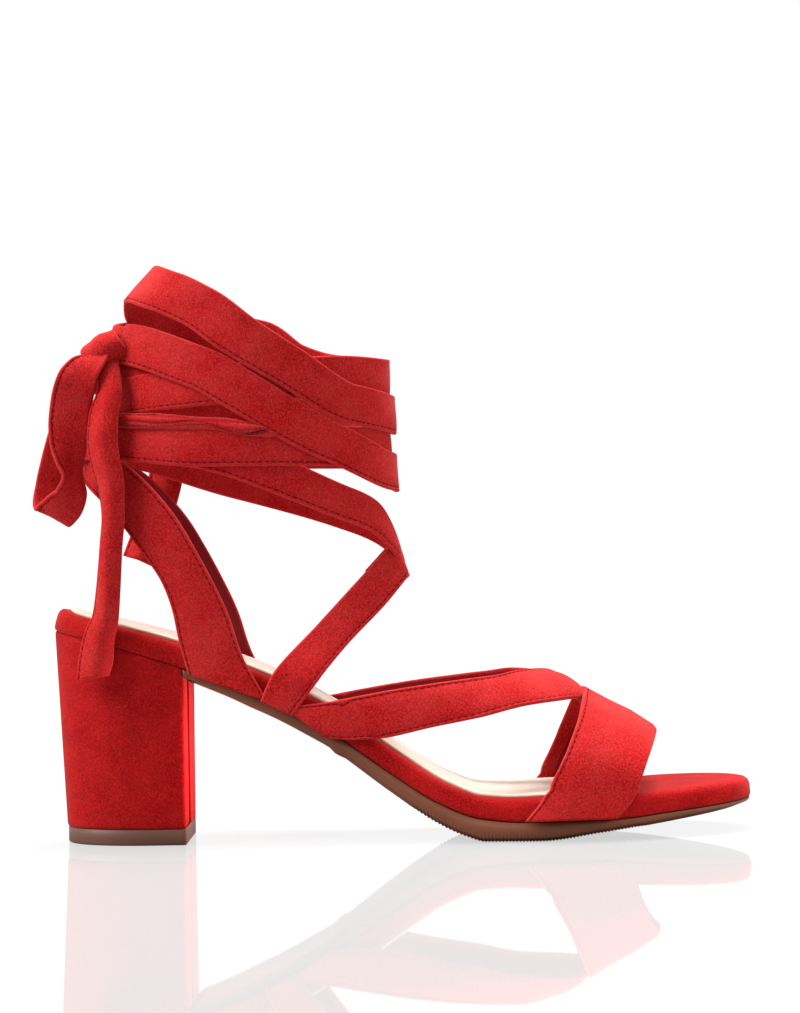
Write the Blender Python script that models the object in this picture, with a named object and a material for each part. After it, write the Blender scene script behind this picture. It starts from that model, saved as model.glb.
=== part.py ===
"""Low block heel sandal with ankle ties, a right shoe.

Metres, +Z up, toe along +X, lateral side at -Y, floor at z = 0. Sizes below are in millimetres.
"""

import math

import bmesh
import bpy
import numpy as np

MM = 0.001
GAP = 0.3
SIDE_GAP = 0.6
WELD = 0.02

# The shoe's driving sizes
LENGTH = 232.6
BACK, FRONT = -LENGTH / 2, LENGTH / 2
SHIFT_Y = -3.5
BREAST = -71.7

# Where the covered platform meets the outsole, along the foot
FEATHER_LINE = (  # station, height
    (BACK, 70.6),
    (-94.0, 64.9),
    (-71.0, 57.4),
    (-45.5, 48.0),
    (-23.7, 36.2),
    (-4.2, 22.4),
    (11.0, 12.8),
    (24.0, 7.9),
    (38.0, 6.7),
    (66.0, 6.9),
    (90.0, 8.9),
    (FRONT, 10.9),
)
PLATFORM_THICK = (  # station, thickness
    (BACK, 8.2),
    (-108.0, 7.0),
    (-95.0, 6.9),
    (-75.0, 7.5),
    (-60.0, 7.2),
    (-20.0, 6.6),
    (20.0, 7.0),
    (50.0, 7.9),
    (90.0, 7.1),
    (FRONT, 6.6),
)
# Footprint before its two ends are rounded
FOOTPRINT = (  # station, half width, centre
    (BACK, 27.4, 0.0),
    (-82.0, 27.4, 0.0),
    (-58.0, 27.7, -0.3),
    (-35.0, 26.7, -1.0),
    (-11.6, 26.4, -2.4),
    (11.6, 29.2, -3.2),
    (28.0, 33.4, -2.4),
    (46.5, 37.6, 0.3),
    (69.8, 39.2, 4.9),
    (98.0, 39.2, 8.5),
    (FRONT, 39.2, 9.0),
)
HEEL_ROUND, HEEL_POWER = -82.0, 2.2
TOE_ROUND, TOE_POWER = 66.0, 2.1

# Rings of each sole layer, from the bottom up
PLATFORM_RINGS = ((0.9, 0.0), (0.0, 0.25), (0.0, 0.6), (0.6, 0.88), (2.2, 1.0))  # inset, share of thickness
SOCK_RINGS = ((4.0, GAP), (3.8, 0.8), (4.4, 1.2))  # inset, height over the platform
SOCK_FRONT = 72.0

# Outsole: a tapered shank, then a small step down to the forepart tread
OUTSOLE_BACK = BREAST - 0.4
SHANK_THICK = (  # station, thickness
    (BREAST, 3.3),
    (-58.0, 4.2),
    (-47.0, 5.0),
    (-34.0, 5.0),
    (-24.0, 4.7),
)
STEP_BACK, STEP_FRONT = -24.5, -20.0
TREAD_LINE = (  # station, height of the underside
    (STEP_FRONT, 28.0),
    (-4.2, 16.0),
    (11.0, 5.7),
    (20.0, 1.6),
    (26.0, 0.0),
    (44.0, 0.0),
    (63.0, 2.2),
    (86.0, 5.2),
    (FRONT, 9.0),
)
OUTSOLE_INSET, TREAD_INSET, EDGE_LIFT = 0.5, 4.0, 1.2

# Heel: the share of its top outline that is left at its foot
TOP_PIECE_TALL, TOP_PIECE_INSET = 5.3, 0.3
TOP_PIECE_RINGS = ((0.4, 0.0), (0.0, 0.4), (0.0, TOP_PIECE_TALL))  # inset, height
FOOT_SHARE_X, FOOT_SHARE_Y = 0.926, 0.905
HEEL_INSET = 0.4
HEEL_LEVELS = 4

# The foot over the forepart, which the toe band and the instep straps lie on
CREST_LINE = (  # station, height
    (-40.0, 110.0),
    (-5.0, 88.0),
    (20.0, 68.0),
    (40.0, 56.4),
    (52.0, 53.4),
    (57.0, 50.4),
    (60.6, 46.9),
    (84.0, 34.2),
    (100.0, 24.0),
)
RIDGE = 4.0
DOME_POWER = 0.87
SPRING = 1.3
WALL_FOOT = -2.6

# The heel and ankle, as an oval at each height
ANKLE = (  # height, back, front, half width
    (45.0, -116.0, 2.0, 28.0),
    (80.0, -113.0, 1.0, 28.8),
    (100.0, -109.5, -3.0, 29.5),
    (122.0, -105.0, -6.6, 30.0),
    (145.0, -97.5, -6.8, 29.5),
    (165.0, -91.0, -7.0, 28.5),
    (195.0, -79.5, -7.0, 27.5),
)

# Straps
STRAP_THICK, TIE_THICK, TIE_WIDE = 1.6, 1.4, 13.0
BAND_FOOT = -0.775  # way down the wall at which the toe band ends
BAND_DROOP, DROOP_FROM = 2.2, 0.84  # how far its front edge turns down on the crest, and from what share
BAND = (  # way up from the lateral foot to the crest, rear edge station, front edge station
    (BAND_FOOT, 38.4, 68.0),
    (BAND_FOOT / 2, 42.6, 72.7),
    (0.0, 46.4, 75.6),
    (0.1, 49.8, 77.0),
    (0.2, 52.6, 78.3),
    (0.45, 56.7, 80.9),
    (1.0, 60.6, 84.5),
)
BAND_TWIST = (1.4, 7.8)  # how far the rear and front edges' medial feet lie ahead of their lateral ones
INSTEP_STRAP = (  # upper edge station and height, lower edge station and height
    (-40.2, 44.9, -25.0, 34.4),
    (-31.0, 45.4, -17.0, 33.7),
    (-18.9, 46.8, -7.1, 34.1),
    (-1.4, 48.2, 9.5, 37.4),
    (20.9, 49.6, 26.2, 40.4),
    (29.5, 50.4, 33.5, 42.2),
    (37.6, 52.2, 40.5, 43.9),
    (50.5, 54.2, 57.0, 46.4),
    (63.0, 47.0, 65.0, 39.0),
)
CREST_LAP = 1.12  # how far past the crest the two instep straps lap
LATERAL_UNDER, MEDIAL_UNDER = 0.6, 1.1  # how deep their front ends lie under the toe band
TUCK_SHARE = 0.3  # share of the way up the foot over which they sink to that depth
LOOP_STRAP = (  # rear edge station and height, front edge station and height, share of the way in
    (-46.6, 46.6, -36.2, 41.6, 0.0),
    (-42.6, 55.0, -28.9, 51.1, 0.02),
    (-28.1, 70.7, -18.0, 64.2, 0.34),
    (-12.0, 88.0, -5.4, 77.2, 0.66),
    (-3.4, 97.2, 1.4, 85.4, 0.84),
)
LOOP_OVER = 0.7  # how far the loop straps stand off, over the feet of the other straps
HEEL_STRAP = (  # front edge station and height, rear edge station and height
    (-44.0, 46.4, -69.9, 56.0),
    (-52.2, 62.2, -72.8, 67.5),
    (-56.1, 74.6, -74.6, 76.5),
    (-60.9, 85.5, -78.0, 86.0),
    (-67.4, 98.1, -83.5, 94.5),
    (-75.5, 111.0, -91.0, 105.0),
    (-90.0, 125.3, -99.5, 114.5),
)
HEEL_STRAP_BACK = (133.0, 121.5)  # upper and lower edge at the back
CLEAR_TOP, CLEAR_FADE = 105.0, 40.0  # below this height the strap eases out, to clear the platform

# The tie's lowest turn, gathered where the loop straps hold it at the front
LOW_TURN = (  # degrees round from the back by the lateral side, height, width
    (0.0, 133.5, 12.0),
    (40.0, 132.5, 12.0),
    (77.0, 129.0, 12.0),
    (134.0, 111.5, 12.0),
    (154.0, 106.0, 12.0),
    (168.0, 98.0, 9.0),
    (180.0, 92.0, 6.0),
    (193.0, 96.0, 7.5),
    (206.0, 102.5, 11.0),
    (228.0, 109.0, 12.0),
    (270.0, 120.0, 12.0),
    (315.0, 130.5, 12.0),
    (360.0, 133.5, 12.0),
)
# The other turns, from the knot round and back to it
TURNS = (  # degrees round, height, layer, lean of the upper edge inward, for each turn of the tie
    (
        (32.0, 164.2, 2.0, 0.0),
        (74.0, 155.0, 2.0, 0.0),
        (91.0, 147.5, 2.0, 0.0),
        (108.0, 139.0, 2.0, 0.0),
        (127.0, 131.0, 2.0, 0.0),
        (166.0, 121.5, 2.0, 0.0),
        (186.0, 121.0, 2.0, 0.0),
        (226.0, 130.0, 2.0, 0.0),
        (275.0, 130.8, 2.0, 0.0),
        (325.0, 131.2, 1.0, 0.0),
    ),
    (
        (0.0, 132.0, 1.0, 0.0),
        (32.0, 133.2, 1.0, 0.0),
        (82.0, 129.6, 1.0, 0.0),
        (155.0, 129.4, 1.0, 0.0),
        (190.0, 131.0, 1.0, 0.0),
        (226.0, 138.0, 1.0, 0.0),
        (275.0, 144.0, 1.0, 0.0),
    ),
    (
        (0.0, 145.3, 1.0, 0.0),
        (32.0, 146.5, 1.0, 0.0),
        (60.0, 148.2, 1.0, 0.0),
        (138.0, 152.5, 1.0, 0.0),
        (165.0, 152.3, 1.0, 0.0),
        (200.0, 153.5, 1.0, 0.0),
        (235.0, 156.5, 1.0, 0.0),
        (252.0, 160.5, 1.0, 0.0),
        (270.0, 169.0, 1.0, 0.0),
        (290.0, 171.5, 1.0, 1.0),
        (312.0, 173.5, 1.0, 2.5),
        (335.0, 178.0, 0.8, 5.0),
    ),
    (
        (0.0, 184.8, 0.5, 6.5),
        (20.0, 184.4, 1.0, 5.0),
        (48.0, 180.6, 2.0, 3.0),
        (68.0, 175.0, 2.0, 0.0),
        (88.0, 165.0, 2.0, 0.0),
        (107.0, 156.0, 2.0, 0.0),
        (138.0, 143.0, 2.0, 0.0),
        (180.0, 140.3, 2.0, 0.0),
        (226.0, 146.0, 2.0, 0.0),
        (270.0, 158.5, 2.0, 0.0),
        (300.0, 166.0, 2.0, 0.0),
        (330.0, 167.6, 2.0, 0.0),
        (367.0, 165.0, 2.0, 0.0),
    ),
)
LOW_LIFT, TIE_LIFT, LAYER = 0.7, 0.9, 1.8
FOLD_RISE = 0.2  # share of a folded ribbon's width that its middle rises over the centre line

# Half bow at the back: centre line, the way that the ribbon's width points, width, and fold in degrees
KNOT_AT = (-96.4, -15.5, 161.8)
KNOT_AXIS, KNOT_UP = (-0.84, 0.05, -0.54), (-0.54, 0.0, 0.84)
KNOT_SIZE = (12.0, 8.6, 9.0)  # along its axis, deep, tall
BOW_LOOP = (  # x, y, z, width x, width y, width z, width, fold
    (-98.4, -20.5, 161.0, 1.0, 0.0, 0.1, 8.5, 0.0),
    (-99.8, -24.2, 158.6, 1.0, 0.0, 0.2, 9.5, 0.0),
    (-103.0, -25.5, 155.3, 1.0, 0.0, 0.2, 12.0, 0.0),
    (-105.2, -26.0, 151.4, 1.0, 0.1, 0.1, 13.0, 0.0),
    (-106.9, -25.5, 145.9, 1.0, 0.1, 0.0, 13.0, 0.0),
    (-107.9, -25.0, 137.7, 1.0, 0.1, 0.0, 13.0, 0.0),
    (-108.0, -24.5, 131.9, 1.0, 0.3, 0.0, 12.5, 0.0),
    (-107.7, -24.0, 126.3, 0.7, 0.7, 0.0, 12.0, 0.0),
    (-107.0, -23.5, 121.1, 0.4, 0.9, 0.0, 12.0, 0.0),
    (-107.5, -23.0, 115.9, 0.7, 0.6, -0.1, 12.0, 0.0),
    (-110.7, -21.5, 110.7, 0.9, 0.2, -0.3, 13.0, 0.0),
    (-114.0, -17.5, 108.4, 0.9, 0.0, -0.5, 13.0, 0.0),
    (-115.0, -13.0, 112.0, 0.9, 0.1, -0.4, 13.0, 0.0),
    (-114.0, -11.0, 118.6, 1.0, 0.2, -0.2, 13.0, 0.0),
    (-112.4, -11.4, 126.2, 1.0, 0.2, 0.0, 12.5, 0.0),
    (-110.0, -11.9, 135.1, 1.0, 0.2, 0.0, 12.0, 0.0),
    (-107.0, -12.5, 144.9, 1.0, 0.1, 0.1, 11.0, 0.0),
    (-103.6, -13.0, 153.7, 1.0, 0.1, 0.2, 9.0, 0.0),
)
END_LONG = (
    (-95.2, -20.3, 158.6, 1.0, -0.1, 0.0, 7.0, 25.0),
    (-94.3, -26.2, 150.0, 1.0, -0.1, 0.0, 9.0, 34.0),
    (-96.4, -28.9, 141.0, 1.0, -0.1, 0.0, 12.0, 40.0),
    (-97.0, -30.6, 132.5, 1.0, -0.1, 0.0, 13.0, 44.0),
    (-95.8, -31.0, 124.3, 1.0, -0.15, 0.0, 13.0, 45.0),
    (-94.4, -30.8, 116.2, 1.0, -0.25, 0.0, 13.0, 52.0),
    (-94.3, -30.4, 108.0, 1.0, -0.35, 0.0, 13.0, 56.0),
    (-95.2, -30.4, 98.0, 1.0, -0.35, 0.0, 13.0, 57.0),
    (-96.0, -30.4, 84.0, 1.0, -0.25, 0.0, 13.0, 55.0),
    (-96.8, -30.4, 74.5, 1.0, -0.15, 0.0, 13.0, 53.0),
    (-98.6, -30.0, 67.5, 1.0, 0.0, -0.1, 13.0, 45.0),
    (-99.7, -29.4, 61.0, 1.0, 0.0, -0.1, 13.0, 36.0),
    (-100.8, -29.2, 55.2, 1.0, 0.0, 0.0, 11.6, 34.0),
)
END_SHORT = (
    (-99.0, -10.4, 160.0, 0.0, 0.2, 1.0, 7.0, 0.0),
    (-101.5, 3.0, 154.5, 0.1, 0.2, 0.9, 9.0, 0.0),
    (-97.3, 17.8, 150.0, 0.1, 0.5, 0.8, 11.0, 0.0),
    (-85.3, 31.9, 140.0, 0.7, 0.4, 0.6, 12.0, 10.0),
    (-80.6, 36.1, 126.0, 0.9, 0.2, -0.2, 12.0, 20.0),
    (-83.5, 35.0, 112.0, 0.9, 0.1, -0.3, 12.0, 20.0),
    (-91.0, 31.5, 93.5, 0.9, 0.1, -0.4, 12.0, 40.0),
)

SUEDE_RED = (0.55, 0.012, 0.016)
SOLE_TAN = (0.32, 0.16, 0.07)
SOCK_CREAM = (0.80, 0.62, 0.50)


def smooth(rows, column, at):
    """One column of a table, read on a smooth curve through its rows that doesn't overshoot."""
    table = np.asarray(rows, float)
    x, y = table[:, 0], table[:, column]
    at = np.clip(np.asarray(at, float), x[0], x[-1])
    step = np.diff(x)
    slope = np.diff(y) / step
    bend = np.concatenate([slope[:1], np.zeros(len(slope) - 1), slope[-1:]])
    product = slope[:-1] * slope[1:]
    total = slope[:-1] + slope[1:]
    even = product > 0
    bend[1:-1][even] = 2 * product[even] / total[even]
    i = np.clip(np.searchsorted(x, at, side="right") - 1, 0, len(step) - 1)
    t = (at - x[i]) / step[i]
    start = y[i] * (1 + 2 * t) * (1 - t) ** 2 + bend[i] * step[i] * t * (1 - t) ** 2
    return start + y[i + 1] * t**2 * (3 - 2 * t) + bend[i + 1] * step[i] * t**2 * (t - 1)


def blend(rows, count):
    """Rows of a table made into count rows, smooth from first to last."""
    table = np.column_stack([np.arange(len(rows)), np.asarray(rows, float)])
    at = np.linspace(0, len(rows) - 1, count)
    return np.column_stack([smooth(table, c, at) for c in range(1, table.shape[1])])


def feather(x):
    """Height of the feather line at x, and its normal in the plane of x and z."""
    low, high = np.clip(x - 0.5, BACK, FRONT), np.clip(x + 0.5, BACK, FRONT)
    slope = (smooth(FEATHER_LINE, 1, high) - smooth(FEATHER_LINE, 1, low)) / (high - low)
    long = np.sqrt(1 + slope**2)
    return smooth(FEATHER_LINE, 1, x), -slope / long, 1 / long


def half_width(x):
    heel = np.clip((HEEL_ROUND - x) / (HEEL_ROUND - BACK), 0, 1)
    toe = np.clip((x - TOE_ROUND) / (FRONT - TOE_ROUND), 0, 1)
    ends = (1 - heel**HEEL_POWER) ** (1 / HEEL_POWER) * (1 - toe**TOE_POWER) ** (1 / TOE_POWER)
    return smooth(FOOTPRINT, 1, x) * ends


def centre(x):
    return smooth(FOOTPRINT, 2, x)


def plan_loop(xs, inset, tip_start, tip_end):
    """Plan points along the lateral side and back along the medial side, and the pairs that face."""
    count = len(xs)
    lateral = np.column_stack([xs, centre(xs) - half_width(xs)])
    medial = np.column_stack([xs, centre(xs) + half_width(xs)])
    kept = np.arange(count)[int(tip_start) : count - int(tip_end)][::-1]
    loop = np.vstack([lateral, medial[kept]])
    facing = np.arange(count)
    facing[kept] = count + np.arange(len(kept))
    along = np.roll(loop, -1, 0) - np.roll(loop, 1, 0)
    inward = np.column_stack([-along[:, 1], along[:, 0]])
    inward /= np.linalg.norm(inward, axis=1, keepdims=True)
    return loop + inset * inward, np.column_stack([np.arange(count), facing])


def over_feather(plan, height):
    """Plan points raised a height off the feather line, along its normal."""
    z, lean, rise = feather(plan[:, 0])
    return np.column_stack([plan[:, 0] + lean * height, plan[:, 1], z + rise * height])


def add_object(name, points, faces, color):
    mesh = bpy.data.meshes.new(name)
    bm = bmesh.new()
    shift = np.array([0.0, SHIFT_Y, 0.0])
    verts = [bm.verts.new(point) for point in (np.asarray(points) + shift) * MM]
    for face in faces:
        corners = list(dict.fromkeys(face))
        if len(corners) > 2:
            bm.faces.new([verts[i] for i in corners])
    bmesh.ops.recalc_face_normals(bm, faces=bm.faces)
    bm.to_mesh(mesh)
    bm.free()
    material = bpy.data.materials.new(name)
    material.use_nodes = True
    shader = material.node_tree.nodes["Principled BSDF"]
    shader.inputs["Base Color"].default_value = (*color, 1.0)
    shader.inputs["Roughness"].default_value = 0.8
    mesh.materials.append(material)
    obj = bpy.data.objects.new(name, mesh)
    bpy.context.scene.collection.objects.link(obj)
    return obj


def ring_solid(name, rings, pairs, color):
    """Closes a stack of equal loops with walls between them and a ladder of faces at both ends."""
    count, last = len(rings[0]), (len(rings) - 1) * len(rings[0])
    faces = []
    for r in range(len(rings) - 1):
        for i in range(count):
            low, high, j = r * count, (r + 1) * count, (i + 1) % count
            faces.append((low + i, low + j, high + j, high + i))
    for (a, b), (c, d) in zip(pairs[:-1], pairs[1:]):
        faces.append((b, d, c, a))
        faces.append((last + a, last + c, last + d, last + b))
    return add_object(name, np.vstack(rings), faces, color)


def sheet_solid(name, grid, thick, color, closed=False):
    """A closed sheet whose inner face is the grid and whose outer face lies a thickness off it."""
    along = np.gradient(grid, axis=0)
    if closed:
        along = np.roll(grid, -1, 0) - np.roll(grid, 1, 0)
    normal = np.cross(along, np.gradient(grid, axis=1))
    normal /= np.linalg.norm(normal, axis=2, keepdims=True)
    rows, wide = grid.shape[:2]
    points = np.vstack([grid.reshape(-1, 3), (grid + thick * normal).reshape(-1, 3)])
    outer = rows * wide
    faces = []
    for i in range(rows if closed else rows - 1):
        a, b = i * wide, (i + 1) % rows * wide
        for j in range(wide - 1):
            faces.append((a + j, a + j + 1, b + j + 1, b + j))
            faces.append((outer + a + j, outer + b + j, outer + b + j + 1, outer + a + j + 1))
        end = wide - 1
        faces.append((a, b, outer + b, outer + a))
        faces.append((a + end, outer + a + end, outer + b + end, b + end))
    if not closed:
        for a in (0, outer - wide):
            for j in range(wide - 1):
                faces.append((a + j, a + j + 1, outer + a + j + 1, outer + a + j))
    return add_object(name, points, faces, color)


def join(target, others):
    """Unions the other solids into the target, one after another, and removes them."""
    for other in others:
        modifier = target.modifiers.new(other.name, "BOOLEAN")
        modifier.operation = "UNION"
        modifier.solver = "EXACT"
        modifier.object = other
        other.hide_render = True
        other.display_type = "WIRE"
    graph = bpy.context.evaluated_depsgraph_get()
    joined = bpy.data.meshes.new_from_object(target.evaluated_get(graph))
    material = target.data.materials[0]
    target.modifiers.clear()
    target.data = joined
    joined.materials.clear()
    joined.materials.append(material)
    for other in others:
        bpy.data.objects.remove(other)
    bm = bmesh.new()
    bm.from_mesh(joined)
    bmesh.ops.triangulate(bm, faces=bm.faces)
    bmesh.ops.remove_doubles(bm, verts=bm.verts, dist=WELD * MM)
    bmesh.ops.dissolve_degenerate(bm, edges=bm.edges, dist=WELD / 2 * MM)
    bm.to_mesh(joined)
    bm.free()
    return target


# Sole


def make_platform():
    xs = -LENGTH / 2 * np.cos(np.linspace(0, math.pi, 45))
    rings = []
    for inset, share in PLATFORM_RINGS:
        plan, pairs = plan_loop(xs, inset, True, True)
        rings.append(over_feather(plan, share * smooth(PLATFORM_THICK, 1, plan[:, 0])))
    ring_solid("platform", rings, pairs, SUEDE_RED)


def make_sock():
    reach = SOCK_FRONT - BACK
    xs = BACK + reach * (1 - np.cos(np.linspace(0, math.pi / 2, 34)))
    rings = []
    for inset, rise in SOCK_RINGS:
        plan, pairs = plan_loop(xs, inset, True, False)
        rings.append(over_feather(plan, rise + smooth(PLATFORM_THICK, 1, plan[:, 0])))
    ring_solid("sock", rings, pairs, SOCK_CREAM)


def outsole_under(x):
    """Height of the outsole's underside at x: the shank, a ramp, then the tread line."""
    z, _, rise = feather(x)
    shank = z - smooth(SHANK_THICK, 1, x) / rise
    ramp = np.clip((x - STEP_BACK) / (STEP_FRONT - STEP_BACK), 0, 1)
    return np.where(x < STEP_FRONT, shank + ramp * (TREAD_LINE[0][1] - shank), smooth(TREAD_LINE, 1, x))


def make_outsole():
    shank = np.linspace(OUTSOLE_BACK, STEP_BACK, 9)
    fore = STEP_FRONT + (FRONT - STEP_FRONT) * np.sin(np.linspace(0, math.pi / 2, 30))
    xs = np.concatenate([shank, fore])
    top, pairs = plan_loop(xs, OUTSOLE_INSET, False, True)
    edge, _ = plan_loop(xs, OUTSOLE_INSET, False, True)
    tread, _ = plan_loop(xs, TREAD_INSET, False, True)
    edge_z, tread_z = outsole_under(edge[:, 0]), outsole_under(tread[:, 0])
    lift = np.where(edge[:, 0] < STEP_FRONT, 0.5, 1.0) * EDGE_LIFT
    upper = over_feather(top, -GAP)
    lower = np.column_stack([edge, np.minimum(edge_z + lift, upper[:, 2] - 1.0)])
    under = np.column_stack([tread, np.maximum(tread_z, 0.0)])
    ring_solid("outsole", [under, lower, upper], pairs, SOLE_TAN)


def heel_loop(inset, share):
    """Plan of the heel at a share of the way down from its top to its foot."""
    xs = BREAST + (BACK - BREAST) * np.cos(np.linspace(0, math.pi / 2, 15))
    plan, pairs = plan_loop(xs, inset, True, False)
    plan[:, 0] = np.minimum(plan[:, 0], BREAST)
    narrow_x, narrow_y = 1 + share * (FOOT_SHARE_X - 1), 1 + share * (FOOT_SHARE_Y - 1)
    small = np.column_stack([BREAST + (plan[:, 0] - BREAST) * narrow_x, plan[:, 1] * narrow_y])
    return plan, small, pairs


def make_heel():
    foot = TOP_PIECE_TALL + GAP
    rings = []
    for share in np.linspace(1, 0, HEEL_LEVELS):
        full, plan, pairs = heel_loop(HEEL_INSET, share)
        top = feather(full[:, 0])[0] - GAP
        rings.append(np.column_stack([plan, foot * share + top * (1 - share)]))
    ring_solid("heel_block", rings, pairs, SUEDE_RED)
    rings = []
    for inset, z in TOP_PIECE_RINGS:
        _, plan, pairs = heel_loop(HEEL_INSET + TOP_PIECE_INSET + inset, 1.0)
        rings.append(np.column_stack([plan, np.full(len(plan), z)]))
    ring_solid("heel_top_piece", rings, pairs, SOLE_TAN)


# Upper


def foot(x, q, lift):
    """A point on the forepart: q is -1 to 0 up the lateral wall, 1 on the crest, 2 to 3 down the medial."""
    z_feather, _, rise = feather(x)
    foot_z = z_feather + WALL_FOOT
    spring = z_feather + SPRING * smooth(PLATFORM_THICK, 1, x) / rise
    side = half_width(x) + SIDE_GAP + lift
    turn = np.clip(q, 0, 2) * math.pi / 2
    out = np.sign(np.cos(turn)) * np.abs(np.cos(turn)) ** DOME_POWER
    up = np.abs(np.sin(turn)) ** DOME_POWER
    wall = np.clip(-q, 0, 1) + np.clip(q - 2, 0, 1)
    y = centre(x) - side * out + RIDGE * np.sin(turn) ** 2
    z = spring + (smooth(CREST_LINE, 1, x) + lift - spring) * up - wall * (spring - foot_z)
    return np.stack([x, y, z], axis=-1)


def foot_share(x, z):
    """The q of a height on the lateral half of the foot."""
    z_feather, _, rise = feather(x)
    spring = z_feather + SPRING * smooth(PLATFORM_THICK, 1, x) / rise
    wall = (z - spring) / (spring - z_feather - WALL_FOOT)
    up = np.clip((z - spring) / (smooth(CREST_LINE, 1, x) - spring), 0, 1)
    return np.where(z < spring, np.clip(wall, -1, 0), np.arcsin(up ** (1 / DOME_POWER)) / (math.pi / 2))


def toe_band():
    wall = np.array([BAND_FOOT, BAND_FOOT / 2])
    q = np.concatenate([wall, np.linspace(0, 2, 25), 2 - wall[::-1]])[:, None]
    edges = []
    for column, twist in enumerate(BAND_TWIST, 1):
        foot_x, crest_x = BAND[0][column], BAND[-1][column]
        x = smooth(BAND, column, np.minimum(q, 2 - q))
        ahead = np.where(q > 1, twist * (crest_x - x) / (crest_x - foot_x), 0.0)
        edges.append(x + ahead)
    share = np.append(np.linspace(0, DROOP_FROM, 4), [0.5 + DROOP_FROM / 2, 1.0])[None, :]
    x = edges[0] + (edges[1] - edges[0]) * share
    crest = np.sin(np.clip(q, 0, 2) * math.pi / 2) ** 2
    droop = np.clip((share - DROOP_FROM) / (1 - DROOP_FROM), 0, 1) ** 2 * crest
    base = foot(x, np.broadcast_to(q, x.shape), -BAND_DROOP * droop)
    return sheet_solid("upper", base[:, ::-1], STRAP_THICK, SUEDE_RED)


def instep_strap(name, medial):
    rows = blend(INSTEP_STRAP, 19)
    share = np.linspace(0, 1, 4)[None, :]
    x = rows[:, 0:1] + (rows[:, 2:3] - rows[:, 0:1]) * share
    q_upper, q_lower = foot_share(rows[:, 0], rows[:, 1]), foot_share(rows[:, 2], rows[:, 3])
    q_upper = np.where(q_upper > 0, CREST_LAP * q_upper, q_upper)
    q = q_upper[:, None] + (q_lower - q_upper)[:, None] * share
    under = np.clip(q / TUCK_SHARE, 0, 1) * (MEDIAL_UNDER if medial else LATERAL_UNDER)
    grid = foot(x, 2 - q if medial else q, -under)
    return sheet_solid(name, grid if medial else grid[:, ::-1], STRAP_THICK, SUEDE_RED)


def loop_strap(name, medial):
    rows = blend(LOOP_STRAP, 15)
    share = np.linspace(0, 1, 3)[None, :]
    x = rows[:, 0:1] + (rows[:, 2:3] - rows[:, 0:1]) * share
    z = rows[:, 1:2] + (rows[:, 3:4] - rows[:, 1:2]) * share
    out = (half_width(x) + SIDE_GAP + LOOP_OVER) * (1 - rows[:, 4:5])
    middle = centre(x) * (1 - rows[:, 4:5])
    grid = np.stack([x, middle + (out if medial else -out), z], axis=-1)
    return sheet_solid(name, grid if medial else grid[:, ::-1], STRAP_THICK, SUEDE_RED)


def ankle(angle, z, lift):
    """A point on the heel and ankle, at radians round from the back by the lateral side."""
    back, front, half = (smooth(ANKLE, column, z) for column in (1, 2, 3))
    x = (back + front) / 2 - ((front - back) / 2 + lift) * np.cos(angle)
    return np.stack([x, -(half + lift) * np.sin(angle), z + 0 * angle], axis=-1)


def ankle_angle(x, z):
    back, front = smooth(ANKLE, 1, z), smooth(ANKLE, 2, z)
    return np.arccos(np.clip(((back + front) / 2 - x) / ((front - back) / 2), -1, 1))


def heel_strap():
    table = np.asarray(HEEL_STRAP)
    front, rear = ankle_angle(table[:, 0], table[:, 1]), ankle_angle(table[:, 2], table[:, 3])
    half = np.column_stack([front, table[:, 1], rear, table[:, 3]])
    back = [[0.0, HEEL_STRAP_BACK[0], 0.0, HEEL_STRAP_BACK[1]]]
    rows = blend(np.vstack([half, back, half[::-1] * (-1, 1, -1, 1)]), 43)
    share = np.linspace(0, 1, 3)[None, :]
    angle = rows[:, 0:1] + (rows[:, 2:3] - rows[:, 0:1]) * share
    grid = ankle(angle, rows[:, 1:2] + (rows[:, 3:4] - rows[:, 1:2]) * share, 0.0)
    x, y = grid[:, :, 0], grid[:, :, 1]
    short = np.clip(half_width(x) + SIDE_GAP + np.sign(y) * centre(x) - np.abs(y), 0, None)
    fade = np.clip((CLEAR_TOP - grid[:, :, 2]) / CLEAR_FADE, 0, 1)
    grid[:, :, 1] += np.sign(y) * short * fade**2 * (3 - 2 * fade)
    return sheet_solid("heel_strap", grid, STRAP_THICK, SUEDE_RED)


def wound(turn, z, lift, wide, lean=0.0):
    """A ribbon's inner face wound on the ankle: a grid whose upper edge comes last and leans in or out."""
    angle = np.radians(turn)
    path = ankle(angle, z, lift)
    run = np.linalg.norm(np.gradient(path[:, :2], axis=0), axis=1)
    climb = np.gradient(path[:, 2])
    long = np.hypot(run, climb)
    across = np.linspace(-0.5, 0.5, 3)[None, :] * wide[:, None]
    per_radian = run / np.gradient(angle)
    side_angle = angle[:, None] - across * (climb / long / per_radian)[:, None]
    stand = lift[:, None] - across / wide[:, None] * np.broadcast_to(lean, lift.shape)[:, None]
    upright = np.sqrt(1 - (np.abs(lean) / wide) ** 2)
    return ankle(side_angle, z[:, None] + across * (run / long * upright)[:, None], stand)


def low_turn():
    turn = np.linspace(0, 360, 73)
    lift = np.full(len(turn), LOW_LIFT)
    grid = wound(turn, smooth(LOW_TURN, 1, turn), lift, smooth(LOW_TURN, 2, turn))
    return sheet_solid("low_turn", grid[:-1], STRAP_THICK, SUEDE_RED, closed=True)


def make_upper():
    pieces = [heel_strap(), low_turn()]
    for medial in (False, True):
        side = "medial" if medial else "lateral"
        pieces.append(instep_strap("instep_" + side, medial))
        pieces.append(loop_strap("loop_" + side, medial))
    join(toe_band(), pieces)


# Ties


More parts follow.
